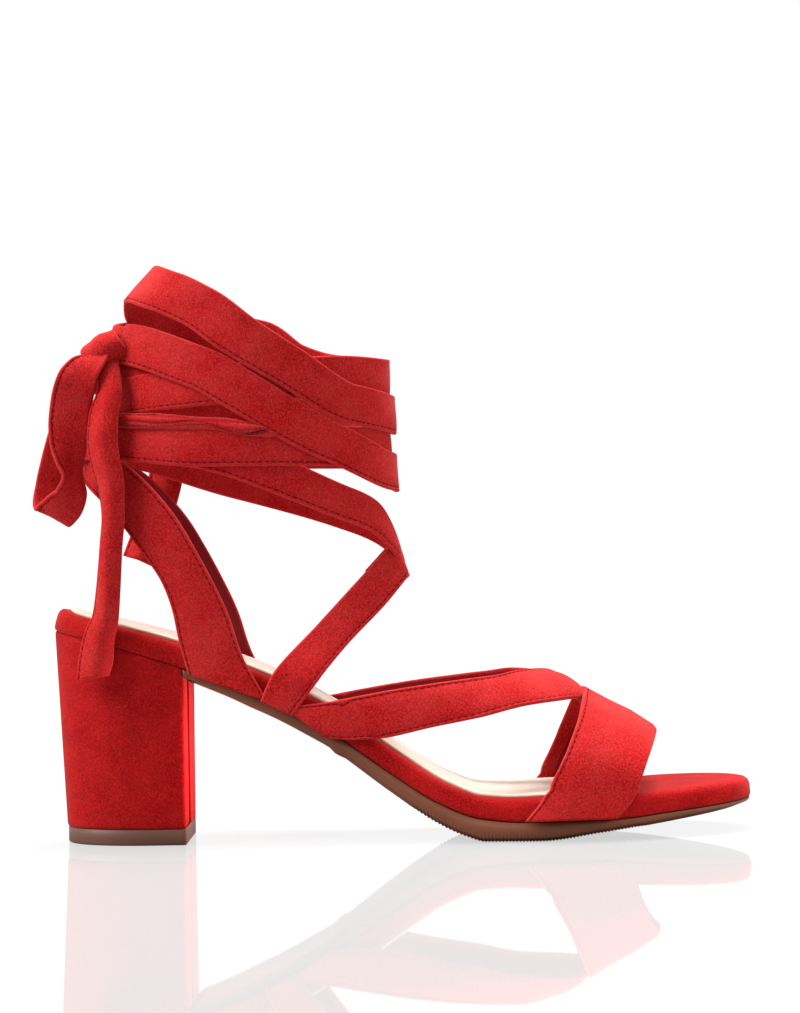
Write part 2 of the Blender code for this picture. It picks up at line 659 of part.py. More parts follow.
def make_ankle_tie():
    rows = [(lap * 360 + row[0], *row[1:]) for lap, table in enumerate(TURNS) for row in table]
    turn = np.linspace(rows[0][0], rows[-1][0], 171)
    z, layer, lean = (smooth(rows, column, turn) for column in (1, 2, 3))
    grid = wound(turn, z, TIE_LIFT + LAYER * layer, np.full(len(turn), TIE_WIDE), lean)
    sheet_solid("ankle_tie", grid, TIE_THICK, SUEDE_RED)


def ribbon(name, rows, count):
    """A ribbon along a table of its centre line, its width's direction and its lengthwise fold."""
    table = blend(rows, count)
    wide = table[:, 3:6] / np.linalg.norm(table[:, 3:6], axis=1, keepdims=True)
    along = np.gradient(table[:, :3], axis=0)
    along /= np.linalg.norm(along, axis=1, keepdims=True)
    wide -= along * (wide * along).sum(1, keepdims=True)
    wide /= np.linalg.norm(wide, axis=1, keepdims=True)
    face = np.cross(along, wide)
    side = np.linspace(-0.5, 0.5, 3)[None, :] * table[:, 6:7]
    fold = np.radians(table[:, 7:8])
    middle = np.sin(fold) * table[:, 6:7] * FOLD_RISE
    flat = (side * np.cos(fold))[..., None] * wide[:, None, :]
    raised = (middle - np.abs(side) * np.sin(fold) - TIE_THICK / 2)[..., None] * face[:, None, :]
    return sheet_solid(name, table[:, None, :3] + flat + raised, TIE_THICK, SUEDE_RED)


def make_knot():
    """The knot, egg shaped along its own axis."""
    egg = bmesh.new()
    bmesh.ops.create_uvsphere(egg, u_segments=14, v_segments=8, radius=0.5)
    sizes = np.array([vert.co[:] for vert in egg.verts]) * KNOT_SIZE
    faces = [[vert.index for vert in face.verts] for face in egg.faces]
    egg.free()
    ways = np.array([KNOT_AXIS, np.cross(KNOT_UP, KNOT_AXIS), KNOT_UP])
    add_object("tie_knot", sizes @ ways + KNOT_AT, faces, SUEDE_RED)


def make_bow():
    make_knot()
    ribbon("tie_bow_loop", BOW_LOOP, 45)
    ribbon("tie_end_long", END_LONG, 25)
    ribbon("tie_end_short", END_SHORT, 25)


for old in list(bpy.data.objects):
    bpy.data.objects.remove(old)
make_outsole()
make_heel()
make_platform()
make_sock()
make_upper()
make_ankle_tie()
make_bow()
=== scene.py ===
"""Dresses the block heel sandal: covered sole, sewn straps, ties wound round the ankle and a half bow."""

import math

import bmesh
import bpy
import numpy as np
from mathutils import Matrix, Vector, noise


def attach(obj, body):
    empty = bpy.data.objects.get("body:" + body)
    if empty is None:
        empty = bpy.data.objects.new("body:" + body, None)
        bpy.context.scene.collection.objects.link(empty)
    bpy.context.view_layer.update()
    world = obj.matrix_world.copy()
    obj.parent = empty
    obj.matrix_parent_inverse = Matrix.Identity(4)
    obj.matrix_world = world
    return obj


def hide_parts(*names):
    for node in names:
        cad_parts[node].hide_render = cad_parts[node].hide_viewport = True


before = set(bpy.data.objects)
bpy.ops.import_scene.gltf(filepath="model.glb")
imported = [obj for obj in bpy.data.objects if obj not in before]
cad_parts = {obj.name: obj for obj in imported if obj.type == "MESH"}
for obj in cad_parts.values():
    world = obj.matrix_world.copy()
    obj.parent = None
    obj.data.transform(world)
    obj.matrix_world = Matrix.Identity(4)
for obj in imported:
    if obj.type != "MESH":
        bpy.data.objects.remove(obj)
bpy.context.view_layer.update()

# The tables below are in millimetres, in the frame of the part's source before its shift across
MM = 0.001
SHIFT = (0.0, -3.5, 0.0)
GAP, SIDE_GAP = 0.3, 0.6
WELD = 0.004 * MM

LENGTH = 232.6
BACK, FRONT = -LENGTH / 2, LENGTH / 2
BREAST = -71.7

# Sole
FEATHER_LINE = (  # station, height where the platform meets the outsole
    (BACK, 70.6),
    (-94.0, 64.9),
    (-71.0, 57.4),
    (-45.5, 48.0),
    (-23.7, 36.2),
    (-4.2, 22.4),
    (11.0, 12.8),
    (24.0, 7.9),
    (38.0, 6.7),
    (66.0, 6.9),
    (90.0, 8.9),
    (FRONT, 10.9),
)
PLATFORM_THICK = (  # station, thickness
    (BACK, 8.2),
    (-108.0, 7.0),
    (-95.0, 6.9),
    (-75.0, 7.5),
    (-60.0, 7.2),
    (-20.0, 6.6),
    (20.0, 7.0),
    (50.0, 7.9),
    (90.0, 7.1),
    (FRONT, 6.6),
)
FOOTPRINT = (  # station, half width, centre, before both ends are rounded
    (BACK, 27.4, 0.0),
    (-82.0, 27.4, 0.0),
    (-58.0, 27.7, -0.3),
    (-35.0, 26.7, -1.0),
    (-11.6, 26.4, -2.4),
    (11.6, 29.2, -3.2),
    (28.0, 33.4, -2.4),
    (46.5, 37.6, 0.3),
    (69.8, 39.2, 4.9),
    (98.0, 39.2, 8.5),
    (FRONT, 39.2, 9.0),
)
HEEL_ROUND, HEEL_POWER = -82.0, 2.2
TOE_ROUND, TOE_POWER = 66.0, 2.1
PLATFORM_PROFILE = (  # inset, share of the thickness
    (1.2, 0.0),
    (0.35, 0.04),
    (0.05, 0.14),
    (0.0, 0.3),
    (0.02, 0.5),
    (0.15, 0.68),
    (0.55, 0.83),
    (1.3, 0.93),
    (2.8, 0.985),
    (6.0, 1.0),
)
SOCK_PROFILE = (  # inset, height over the platform
    (4.4, -0.2),
    (4.1, 0.2),
    (4.0, 0.6),
    (4.3, 1.0),
    (5.1, 1.25),
    (7.5, 1.3),
)
SOCK_FRONT, SOCK_ROUND, SOCK_POWER = 72.0, 22.0, 3.0
OUTSOLE_BACK = BREAST - 0.4
SHANK_THICK = (  # station, thickness
    (BREAST, 3.3),
    (-58.0, 4.2),
    (-47.0, 5.0),
    (-34.0, 5.0),
    (-24.0, 4.7),
)
STEP_BACK, STEP_FRONT = -24.5, -20.0
TREAD_LINE = (  # station, height of the underside
    (STEP_FRONT, 28.0),
    (-4.2, 16.0),
    (11.0, 5.7),
    (20.0, 1.6),
    (26.0, 0.0),
    (44.0, 0.0),
    (63.0, 2.2),
    (86.0, 5.2),
    (FRONT, 9.0),
)
OUTSOLE_INSET, TREAD_INSET, EDGE_LIFT = 0.5, 4.0, 1.2
EDGE_ROUND, EDGE_LEAST, SHANK_LIFT = 0.5, 1.0, 0.6
RIB_BACK, RIB_FRONT, RIB_PITCH, RIB_DEEP, RIB_FADE = 1.0, 80.0, 1.15, 0.4, 4.0
RIB_STATIONS = 6

# Heel
TOP_PIECE_TALL, TOP_PIECE_INSET = 5.3, 0.3
FOOT_SHARE_X, FOOT_SHARE_Y = 0.926, 0.905
HEEL_INSET, SEAM_GAP, BREAST_ROUND = 0.4, 0.08, 1.0
SEAM_WIDE, SEAM_EDGE, SEAM_DEEP, SEAM_LAP = 0.2, 0.18, 0.9, 0.5  # the lapped seam down the breast
SEAM_PAINTED_SHADE = 3.3  # painted shade on the lap's wall, against 1 in a stitch groove
HEEL_FOOT_EDGE = (  # inset, share of the way down
    (0.5, 1.0),
    (0.15, 0.996),
    (0.0, 0.985),
)
HEEL_SIDE = (0.95, 0.03, 14)  # first and last share of the way down, rings
HEEL_TOP_EDGE = (  # inset, share of the way down
    (0.1, 0.008),
    (0.5, 0.0),
)
TOP_PIECE_PROFILE = (  # inset, height
    (0.6, 0.0),
    (0.15, 0.25),
    (0.0, 0.7),
    (0.0, 2.5),
    (0.0, TOP_PIECE_TALL - 0.3),
    (0.3, TOP_PIECE_TALL),
)

# The foot, heel and ankle that the straps lie on
CREST_LINE = (  # station, height
    (-40.0, 110.0),
    (-5.0, 88.0),
    (20.0, 68.0),
    (40.0, 56.4),
    (52.0, 53.4),
    (57.0, 50.4),
    (60.6, 46.9),
    (84.0, 34.2),
    (100.0, 24.0),
)
RIDGE, DOME_POWER, SPRING, WALL_FOOT = 4.0, 0.87, 1.3, -2.6
ANKLE = (  # height, back, front, half width
    (45.0, -116.0, 2.0, 28.0),
    (80.0, -113.0, 1.0, 28.8),
    (100.0, -109.5, -3.0, 29.5),
    (122.0, -105.0, -6.6, 30.0),
    (145.0, -97.5, -6.8, 29.5),
    (165.0, -91.0, -7.0, 28.5),
    (195.0, -79.5, -7.0, 27.5),
)

# Straps
STRAP_THICK, TIE_THICK, TIE_WIDE = 1.6, 1.4, 13.0
BAND_FOOT = -0.775  # way down the wall at which the toe band ends
BAND_DROOP, DROOP_FROM = 2.2, 0.84  # how far its front edge turns down on the crest, and from what share
BAND = (  # way up from the lateral foot to the crest, rear edge station, front edge station
    (BAND_FOOT, 38.4, 68.0),
    (BAND_FOOT / 2, 42.6, 72.7),
    (0.0, 46.4, 75.6),
    (0.1, 49.8, 77.0),
    (0.2, 52.6, 78.3),
    (0.45, 56.7, 80.9),
    (1.0, 60.6, 84.5),
)
BAND_TWIST = (1.4, 7.8)  # how far the rear and front edges' medial feet lie ahead of their lateral ones
INSTEP_STRAP = (  # upper edge station and height, lower edge station and height
    (-40.2, 44.9, -25.0, 34.4),
    (-31.0, 45.4, -17.0, 33.7),
    (-18.9, 46.8, -7.1, 34.1),
    (-1.4, 48.2, 9.5, 37.4),
    (20.9, 49.6, 26.2, 40.4),
    (29.5, 50.4, 33.5, 42.2),
    (37.6, 52.2, 40.5, 43.9),
    (50.5, 54.2, 57.0, 46.4),
    (63.0, 47.0, 65.0, 39.0),
)
CREST_LAP = 1.12
LATERAL_UNDER, MEDIAL_UNDER = 1.7, 3.3  # how far the instep straps lie under the toe band
TUCK_FROM, TUCK_LONG = 30.0, 25.0
LOOP_STRAP = (  # rear edge station and height, front edge station and height, share of the way in
    (-46.6, 46.6, -36.2, 41.6, 0.0),
    (-42.6, 55.0, -28.9, 51.1, 0.02),
    (-28.1, 70.7, -18.0, 64.2, 0.34),
    (-12.0, 88.0, -5.4, 77.2, 0.66),
    (-3.4, 97.2, 1.4, 85.4, 0.84),
)
LOOP_OVER, FOLD_ROUND, FOLD_START, FOLD_BACK = 0.7, 0.8, 20.0, 12.0
HEEL_STRAP = (  # front edge station and height, rear edge station and height
    (-44.0, 46.4, -69.9, 56.0),
    (-52.2, 62.2, -72.8, 67.5),
    (-56.1, 74.6, -74.6, 76.5),
    (-60.9, 85.5, -78.0, 86.0),
    (-67.4, 98.1, -83.5, 94.5),
    (-75.5, 111.0, -91.0, 105.0),
    (-90.0, 125.3, -99.5, 114.5),
)
HEEL_STRAP_BACK = (133.0, 121.5)
CLEAR_TOP, CLEAR_FADE = 105.0, 40.0
LOW_TURN = (  # degrees round from the back by the lateral side, height, width
    (0.0, 133.5, 12.0),
    (40.0, 132.5, 12.0),
    (77.0, 129.0, 12.0),
    (134.0, 111.5, 12.0),
    (154.0, 106.0, 12.0),
    (168.0, 98.0, 9.0),
    (180.0, 92.0, 6.0),
    (193.0, 96.0, 7.5),
    (206.0, 102.5, 11.0),
    (228.0, 109.0, 12.0),
    (270.0, 120.0, 12.0),
    (315.0, 130.5, 12.0),
    (360.0, 133.5, 12.0),
)
TURNS = (  # degrees round, height, layer, lean of the upper edge inward, for each turn of the tie
    (
        (22.0, 164.6, 1.2, 0.0),
        (32.0, 164.2, 2.0, 0.0),
        (74.0, 155.0, 2.0, 0.0),
        (91.0, 147.5, 2.0, 0.0),
        (108.0, 139.0, 2.0, 0.0),
        (127.0, 131.0, 2.0, 0.0),
        (166.0, 121.5, 2.0, 0.0),
        (186.0, 121.0, 2.0, 0.0),
        (226.0, 130.0, 2.0, 0.0),
        (275.0, 130.8, 2.0, 0.0),
        (325.0, 131.2, 1.0, 0.0),
    ),
    (
        (0.0, 132.0, 1.0, 0.0),
        (32.0, 133.2, 1.0, 0.0),
        (82.0, 129.6, 1.0, 0.0),
        (155.0, 129.4, 1.0, 0.0),
        (190.0, 131.0, 1.0, 0.0),
        (226.0, 138.0, 1.0, 0.0),
        (275.0, 144.0, 1.0, 0.0),
    ),
    (
        (0.0, 145.3, 1.0, 0.0),
        (32.0, 146.5, 1.0, 0.0),
        (60.0, 148.2, 1.0, 0.0),
        (138.0, 152.5, 1.0, 0.0),
        (165.0, 152.3, 1.0, 0.0),
        (200.0, 153.5, 1.0, 0.0),
        (235.0, 156.5, 1.0, 0.0),
        (252.0, 160.5, 1.0, 0.0),
        (270.0, 169.0, 1.0, 0.0),
        (290.0, 171.5, 1.0, 1.0),
        (312.0, 173.5, 1.0, 2.5),
        (335.0, 178.0, 0.8, 5.0),
    ),
    (
        (0.0, 184.8, 0.5, 6.5),
        (20.0, 184.4, 1.0, 5.0),
        (48.0, 180.6, 2.0, 3.0),
        (68.0, 175.0, 2.0, 0.0),
        (88.0, 165.0, 2.0, 0.0),
        (107.0, 156.0, 2.0, 0.0),
        (138.0, 143.0, 2.0, 0.0),
        (180.0, 140.3, 2.0, 0.0),
        (226.0, 146.0, 2.0, 0.0),
        (270.0, 158.5, 2.0, 0.0),
        (300.0, 166.0, 2.0, 0.0),
        (330.0, 167.6, 2.0, 0.0),
        (367.0, 165.0, 2.0, 0.0),
        (388.0, 163.5, 1.5, 0.0),
    ),
)
TUCKED_STRAND = (  # degrees round, height, width: the strand from the knot that shows under the top turn
    (14.0, 157.5, 9.0),
    (30.0, 155.5, 9.0),
    (50.0, 152.5, 9.0),
    (78.0, 149.0, 9.0),
)
ROLLED_EDGE = (  # degrees round, height, width: the slack rolled up between two turns
    (8.0, 139.7, 5.0),
    (30.0, 139.4, 4.6),
    (60.0, 138.2, 4.4),
    (85.0, 136.6, 4.0),
    (106.0, 133.6, 2.6),
)
ROLLED_THICK = 2.4
LOW_LIFT, TIE_LIFT, LAYER, STEEPEST_LEAN = 0.7, 0.9, 1.8, 0.9

# Half bow: centre line, the way that the ribbon's width points, width, fold along its middle in degrees
BOW_LOOP = (  # x, y, z, width x, width y, width z, width, fold
    (-98.4, -20.5, 161.0, 1.0, 0.0, 0.1, 8.5, 0.0),
    (-99.8, -24.2, 158.6, 1.0, 0.0, 0.2, 9.5, 0.0),
    (-103.0, -25.5, 155.3, 1.0, 0.0, 0.2, 12.0, 0.0),
    (-105.2, -26.0, 151.4, 1.0, 0.1, 0.1, 13.0, 0.0),
    (-106.9, -25.5, 145.9, 1.0, 0.1, 0.0, 13.0, 0.0),
    (-107.9, -25.0, 137.7, 1.0, 0.1, 0.0, 13.0, 0.0),
    (-108.0, -24.5, 131.9, 1.0, 0.3, 0.0, 12.5, 0.0),
    (-107.7, -24.0, 126.3, 0.7, 0.7, 0.0, 12.0, 0.0),
    (-107.0, -23.5, 121.1, 0.4, 0.9, 0.0, 12.0, 0.0),
    (-107.5, -23.0, 115.9, 0.7, 0.6, -0.1, 12.0, 0.0),
    (-110.7, -21.5, 110.7, 0.9, 0.2, -0.3, 13.0, 0.0),
    (-114.0, -17.5, 108.4, 0.9, 0.0, -0.5, 13.0, 0.0),
    (-115.0, -13.0, 112.0, 0.9, 0.1, -0.4, 13.0, 0.0),
    (-114.0, -11.0, 118.6, 1.0, 0.2, -0.2, 13.0, 0.0),
    (-112.4, -11.4, 126.2, 1.0, 0.2, 0.0, 12.5, 0.0),
    (-110.0, -11.9, 135.1, 1.0, 0.2, 0.0, 12.0, 0.0),
    (-107.0, -12.5, 144.9, 1.0, 0.1, 0.1, 11.0, 0.0),
    (-103.6, -13.0, 153.7, 1.0, 0.1, 0.2, 9.0, 0.0),
)
END_LONG = (
    (-95.2, -20.3, 158.6, 1.0, -0.1, 0.0, 7.0, 25.0),
    (-94.3, -26.2, 150.0, 1.0, -0.1, 0.0, 9.0, 34.0),
    (-96.4, -28.9, 141.0, 1.0, -0.1, 0.0, 12.0, 40.0),
    (-97.0, -30.6, 132.5, 1.0, -0.1, 0.0, 13.0, 44.0),
    (-95.8, -31.0, 124.3, 1.0, -0.15, 0.0, 13.0, 45.0),
    (-94.4, -30.8, 116.2, 1.0, -0.25, 0.0, 13.0, 52.0),
    (-94.3, -30.4, 108.0, 1.0, -0.35, 0.0, 13.0, 56.0),
    (-95.2, -30.4, 98.0, 1.0, -0.35, 0.0, 13.0, 57.0),
    (-96.0, -30.4, 84.0, 1.0, -0.25, 0.0, 13.0, 55.0),
    (-96.8, -30.4, 74.5, 1.0, -0.15, 0.0, 13.0, 53.0),
    (-98.6, -30.0, 67.5, 1.0, 0.0, -0.1, 13.0, 45.0),
    (-99.7, -29.4, 61.0, 1.0, 0.0, -0.1, 13.0, 36.0),
    (-100.8, -29.2, 55.2, 1.0, 0.0, 0.0, 11.6, 34.0),
)
END_SHORT = (
    (-99.0, -10.4, 160.0, 0.0, 0.2, 1.0, 7.0, 0.0),
    (-101.5, 3.0, 154.5, 0.1, 0.2, 0.9, 9.0, 0.0),
    (-97.3, 17.8, 150.0, 0.1, 0.5, 0.8, 11.0, 0.0),
    (-85.3, 31.9, 140.0, 0.7, 0.4, 0.6, 12.0, 10.0),
    (-80.6, 36.1, 126.0, 0.9, 0.2, -0.2, 12.0, 20.0),
    (-83.5, 35.0, 112.0, 0.9, 0.1, -0.3, 12.0, 20.0),
    (-91.0, 31.5, 93.5, 0.9, 0.1, -0.4, 12.0, 40.0),
)
LOOP_ROOTS = ((-98.0, -14.5, 159.0), (-100.5, -12.5, 158.9))  # the loop's two hidden ends, inside the knot
LONG_ROOT, SHORT_ROOT = ((-95.4, -15.0, 159.6),), ((-98.0, -13.5, 161.0),)
ROOT_WIDE = 7.0
TAIL_SLANT, SLANT_FROM = 0.3, 0.9
# A fold's height, its place off the middle and its rounding, as shares of the ribbon's width
FOLD_RISE, RIDGE_AT, RIDGE_SOFT = 0.2, 0.12, 0.025
KNOT_AT = (-96.4, -15.5, 161.8)
KNOT_AXIS, KNOT_UP = (-0.84, 0.05, -0.54), (-0.54, 0.0, 0.84)
KNOT_WIDE, KNOT_TALL, KNOT_DEEP = 12.4, 6.2, 9.2
KNOT_BULGE, KNOT_PLEATS, PLEAT_DEEP, PLEAT_SWAY = 0.5, 2, 0.25, 1.2
# Creases: length along the ribbon, length across it, depth
WRAP_CREASE, STRAND_CREASE, BOW_CREASE = (24.0, 13.0, 0.7), (15.0, 8.0, 0.9), (22.0, 12.0, 0.5)
CREASE_SLANT, WRAP_SEED = 0.6, 3.1

# Sewing
EDGE_STEPS = 7
STITCH_IN, STITCH_PITCH = 1.3, 2.25
STITCH_LONG, STITCH_WIDE, STITCH_HIGH = 1.5, 0.72, 0.42
GROOVE_WIDE, GROOVE_DEEP, GROOVE_STEPS = 1.0, 0.24, 5
CROWN, STRAND_CROWN = 0.12, 0.5
OUTER_SHARES, INNER_SHARES = (0.36, 0.5, 0.64), (0.85, 0.5, 0.15)
BOTH_EDGES, FIRST_EDGE, LAST_EDGE, NO_EDGE = (True, True), (True, False), (False, True), (False, False)

# How finely the pieces are cut
PLATFORM_STEPS, SOCK_STEPS, CAP_SHARES = 131, 141, (0.0, 0.35, 0.7)
SHANK_STEPS, RAMP_STEPS, TOE_STEPS = 30, 16, 40
HEEL_STEPS, CORNER_STEPS, BREAST_STEPS = 40, 7, 14
WALL_STEPS, BAND_STEPS, BAND_COLUMNS = 10, 90, 33
INSTEP_STEPS, LOOP_STEPS, FOLD_STEPS, FOLD_BACK_STEPS = 110, 60, 9, 8
HEEL_STRAP_STEPS, LOW_TURN_STEPS, TIE_STEPS, STRAND_STEPS = 221, 241, 800, 90
STRAP_COLUMNS, TIE_COLUMNS, RIBBON_COLUMNS = 9, 11, 13
BOW_LOOP_STEPS, TAIL_STEPS, KNOT_STEPS, KNOT_COLUMNS = 200, 110, 73, 17
STITCH_CUTS, KNOT_CUTS = (6, 4), (32, 20)


def smooth(rows, column, at):
    """One column of a table, read on a smooth curve through its rows that doesn't overshoot."""
    table = np.asarray(rows, float)
    x, y = table[:, 0], table[:, column]
    at = np.clip(np.asarray(at, float), x[0], x[-1])
    step = np.diff(x)
    slope = np.diff(y) / step
    bend = np.concatenate([slope[:1], np.zeros(len(slope) - 1), slope[-1:]])
    product = slope[:-1] * slope[1:]
    total = slope[:-1] + slope[1:]
    even = product > 0
    bend[1:-1][even] = 2 * product[even] / total[even]
    i = np.clip(np.searchsorted(x, at, side="right") - 1, 0, len(step) - 1)
    t = (at - x[i]) / step[i]
    start = y[i] * (1 + 2 * t) * (1 - t) ** 2 + bend[i] * step[i] * t * (1 - t) ** 2
    return start + y[i + 1] * t**2 * (3 - 2 * t) + bend[i + 1] * step[i] * t**2 * (t - 1)


def blend(rows, count):
    """Rows of a table made into count rows, smooth from first to last."""
    table = np.column_stack([np.arange(len(rows)), np.asarray(rows, float)])
    at = np.linspace(0, len(rows) - 1, count)
    return np.column_stack([smooth(table, c, at) for c in range(1, table.shape[1])])


def unit(vectors):
    return vectors / np.linalg.norm(vectors, axis=-1, keepdims=True)


# The sole's outline


def feather(x):
    """Height of the feather line at x, and its normal in the plane of x and z."""
    low, high = np.clip(x - 0.5, BACK, FRONT), np.clip(x + 0.5, BACK, FRONT)
    slope = (smooth(FEATHER_LINE, 1, high) - smooth(FEATHER_LINE, 1, low)) / (high - low)
    long = np.sqrt(1 + slope**2)
    return smooth(FEATHER_LINE, 1, x), -slope / long, 1 / long


def half_width(x):
    heel = np.clip((HEEL_ROUND - x) / (HEEL_ROUND - BACK), 0, 1)
    toe = np.clip((x - TOE_ROUND) / (FRONT - TOE_ROUND), 0, 1)
    ends = (1 - heel**HEEL_POWER) ** (1 / HEEL_POWER) * (1 - toe**TOE_POWER) ** (1 / TOE_POWER)
    return smooth(FOOTPRINT, 1, x) * ends


def centre(x):
    return smooth(FOOTPRINT, 2, x)


def plan_loop(xs, inset, tip_start, tip_end, narrow=1.0):
    """Plan points up the lateral side and back down the medial one, and the pairs that face each other."""
    count = len(xs)
    half = half_width(xs) * narrow
    lateral = np.column_stack([xs, centre(xs) - half])
    medial = np.column_stack([xs, centre(xs) + half])
    kept = np.arange(count)[int(tip_start) : count - int(tip_end)][::-1]
    loop = np.vstack([lateral, medial[kept]])
    facing = np.arange(count)
    facing[kept] = count + np.arange(len(kept))
    along = np.roll(loop, -1, 0) - np.roll(loop, 1, 0)
    inward = unit(np.column_stack([-along[:, 1], along[:, 0]]))
    return loop + inset * inward, np.column_stack([np.arange(count), facing])


def over_feather(plan, height):
    """Plan points raised a height off the feather line, along its normal."""
    z, lean, rise = feather(plan[:, 0])
    return np.column_stack([plan[:, 0] + lean * height, plan[:, 1], z + rise * height])


# Meshes


def add_object(name, data):
    item = bpy.data.objects.new(name, data)
    bpy.context.scene.collection.objects.link(item)
    return item


def finish_piece(name, bm, materials, node):
    """Makes a finished bmesh a piece that stands for a node and rides on the shoe."""
    mesh = bpy.data.meshes.new(name)
    bm.to_mesh(mesh)
    bm.free()
    for material in materials:
        mesh.materials.append(material)
    piece = add_object(name, mesh)
    if node:
        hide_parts(node)
    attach(piece, "root")
    return piece


def lay_grid(grid, painted_shade_and_wear=0.0, inside=None):
    """A closed bmesh on rows and columns of points, welded where they meet and capped at its ends.

    The second argument gives the columns or rows their painted shade in grooves and seams, and their worn
    edges.
    inside marks the columns with the second material.
    """
    rows, columns = grid.shape[:2]
    bm = bmesh.new()
    bmesh.ops.create_grid(bm, x_segments=rows - 1, y_segments=columns - 1, size=0.5)
    # The colour attribute holds painted shade for grooves and seams in red, and worn edges in green
    shade = bm.verts.layers.float_color.new("painted_shade_and_wear")
    places = (grid + np.asarray(SHIFT)) * MM
    marks = np.broadcast_to(painted_shade_and_wear, (rows, columns, 2))
    column_of = {}
    for vert in bm.verts:
        i = round((vert.co.x + 0.5) * (rows - 1))
        j = round((vert.co.y + 0.5) * (columns - 1))
        column_of[vert] = j
        vert.co = places[i, j]
        vert[shade] = (*marks[i, j], 0.0, 1.0)
    for face in bm.faces:
        face.smooth = True
        if inside is not None:
            face.material_index = int(inside[min(column_of[vert] for vert in face.verts)])
    bmesh.ops.remove_doubles(bm, verts=bm.verts, dist=WELD)
    rim = [edge for edge in bm.edges if edge.is_boundary]
    if rim:
        bmesh.ops.holes_fill(bm, edges=rim, sides=0)
    bmesh.ops.recalc_face_normals(bm, faces=bm.faces)
    return bm


def close_rings(rings, pairs):
    """A grid from the middle line underneath, out over the rings, and back to the middle line on top."""
    spines = []
    for ring in (rings[0], rings[-1]):
        spine = ring.copy()
        spine[pairs[:, 0]] = spine[pairs[:, 1]] = (ring[pairs[:, 0]] + ring[pairs[:, 1]]) / 2
        spines.append(spine)
    low, high = spines
    columns = [low + (rings[0] - low) * share for share in CAP_SHARES]
    columns += rings
    columns += [high + (rings[-1] - high) * share for share in CAP_SHARES[::-1]]
    grid = np.stack(columns, axis=1)
    return np.concatenate([grid, grid[:1]])


# Strips of suede


def surface_normals(base, closed):
    along = np.gradient(base, axis=0)
    if closed:
        along[0] = along[-1] = base[1] - base[-2]
    return unit(np.cross(along, np.gradient(base, axis=1)))


def across(field, share):
    """A field on uniform columns, read at each row's own shares across."""
    last = field.shape[1] - 1
    at = np.clip(share, 0, 1) * last
    i = np.minimum(at.astype(int), last - 1)
    t = (at - i)[..., None]
    row = np.arange(field.shape[0])[:, None]
    return field[row, i] * (1 - t) + field[row, i + 1] * t


def strip_section(thick, stitched, crown):
    """Columns round a strip: share across, inset from that edge, height, painted groove shade, edge wear,
    inside.
    """
    half = thick / 2
    turn = np.radians(np.linspace(-90, 90, EDGE_STEPS))
    columns = []
    for edge in (0, 1):
        side = []
        for a in turn:
            side.append((edge, half - half * math.cos(a), half + half * math.sin(a), 0.0, math.cos(a), 0))
        # The groove's dip sets both its depth and its painted shade
        for step in np.linspace(-1, 1, GROOVE_STEPS):
            dip = (1 - abs(step)) * stitched[edge]
            inset = STITCH_IN + step * GROOVE_WIDE / 2
            side.append((edge, inset, thick - GROOVE_DEEP * dip, dip, 0.0, 0))
        columns.append(side)
    middle = []
    for share in OUTER_SHARES:
        middle.append((share, 0.0, thick + crown * (1 - (2 * share - 1) ** 2), 0.0, 0.0, 0))
    inner = [(share, 0.0, 0.0, 0.0, 0.0, 1) for share in INNER_SHARES]
    return np.array(columns[0] + middle + columns[1][::-1] + inner)


def add_ball(bm, axes, spot, cuts):
    """A smooth ball stretched along three axes, at a spot in millimetres."""
    rows = [[axis[r] * MM for axis in axes] + [spot[r] * MM] for r in range(3)]
    place = Matrix(rows + [[0, 0, 0, 1]])
    bmesh.ops.create_uvsphere(bm, u_segments=cuts[0], v_segments=cuts[1], radius=0.5, matrix=place)


def sew(name, paths, material):
    """Short stitches along lines on a strip: each path has points and the way out of the strip."""
    bm = bmesh.new()
    for points, out in paths:
        step = np.linalg.norm(np.diff(points, axis=0), axis=1)
        run = np.concatenate([[0.0], np.cumsum(step)])
        count = int(run[-1] / STITCH_PITCH)
        for k in range(count):
            at = (k + 0.5) * run[-1] / count
            ends = [np.array([np.interp(at + d, run, points[:, c]) for c in range(3)]) for d in (-0.5, 0.5)]
            up = Vector([np.interp(at, run, out[:, c]) for c in range(3)]).normalized()
            along = Vector(ends[1] - ends[0]).normalized()
            side = up.cross(along).normalized()
            spot = Vector((ends[0] + ends[1]) / 2 + np.asarray(SHIFT))
            axes = (side * STITCH_WIDE, up * STITCH_HIGH, along * STITCH_LONG)
            add_ball(bm, axes, spot, STITCH_CUTS)
    for face in bm.faces:
        face.smooth = True
    return finish_piece(name, bm, [material], None)


def strip(name, base, thick, finish, node, slot, stitched=BOTH_EDGES, crown=CROWN, closed=False):
    """A sewn strip of suede on a base that is its inner face, with rolled edges, grooves and stitches."""
    outer, lining, thread = finish
    normals = surface_normals(base, closed)
    width = np.linalg.norm(np.diff(base, axis=1), axis=2).sum(1)
    table = strip_section(thick, stitched, crown)
    inward = np.where(table[:, 0] < 0.5, 1, -1)
    share = table[:, 0] + inward * table[:, 1] / width[:, None]
    out = across(normals, share)
    grid = across(base, share) + out * table[:, 2][:, None]
    loop = np.concatenate([grid, grid[:, :1]], axis=1)
    painted_shade_and_wear = np.vstack([table[:, 3:5], table[:1, 3:5]])
    inside = np.concatenate([table[:, 5], table[:1, 5]])
    piece = finish_piece(name, lay_grid(loop, painted_shade_and_wear, inside), [outer, lining], node)
    grooves = [c for c in range(len(table)) if table[c, 3] == 1]
    if grooves:
        sew(name + "_stitches", [(grid[:, c], out[:, c]) for c in grooves], thread)
    return piece


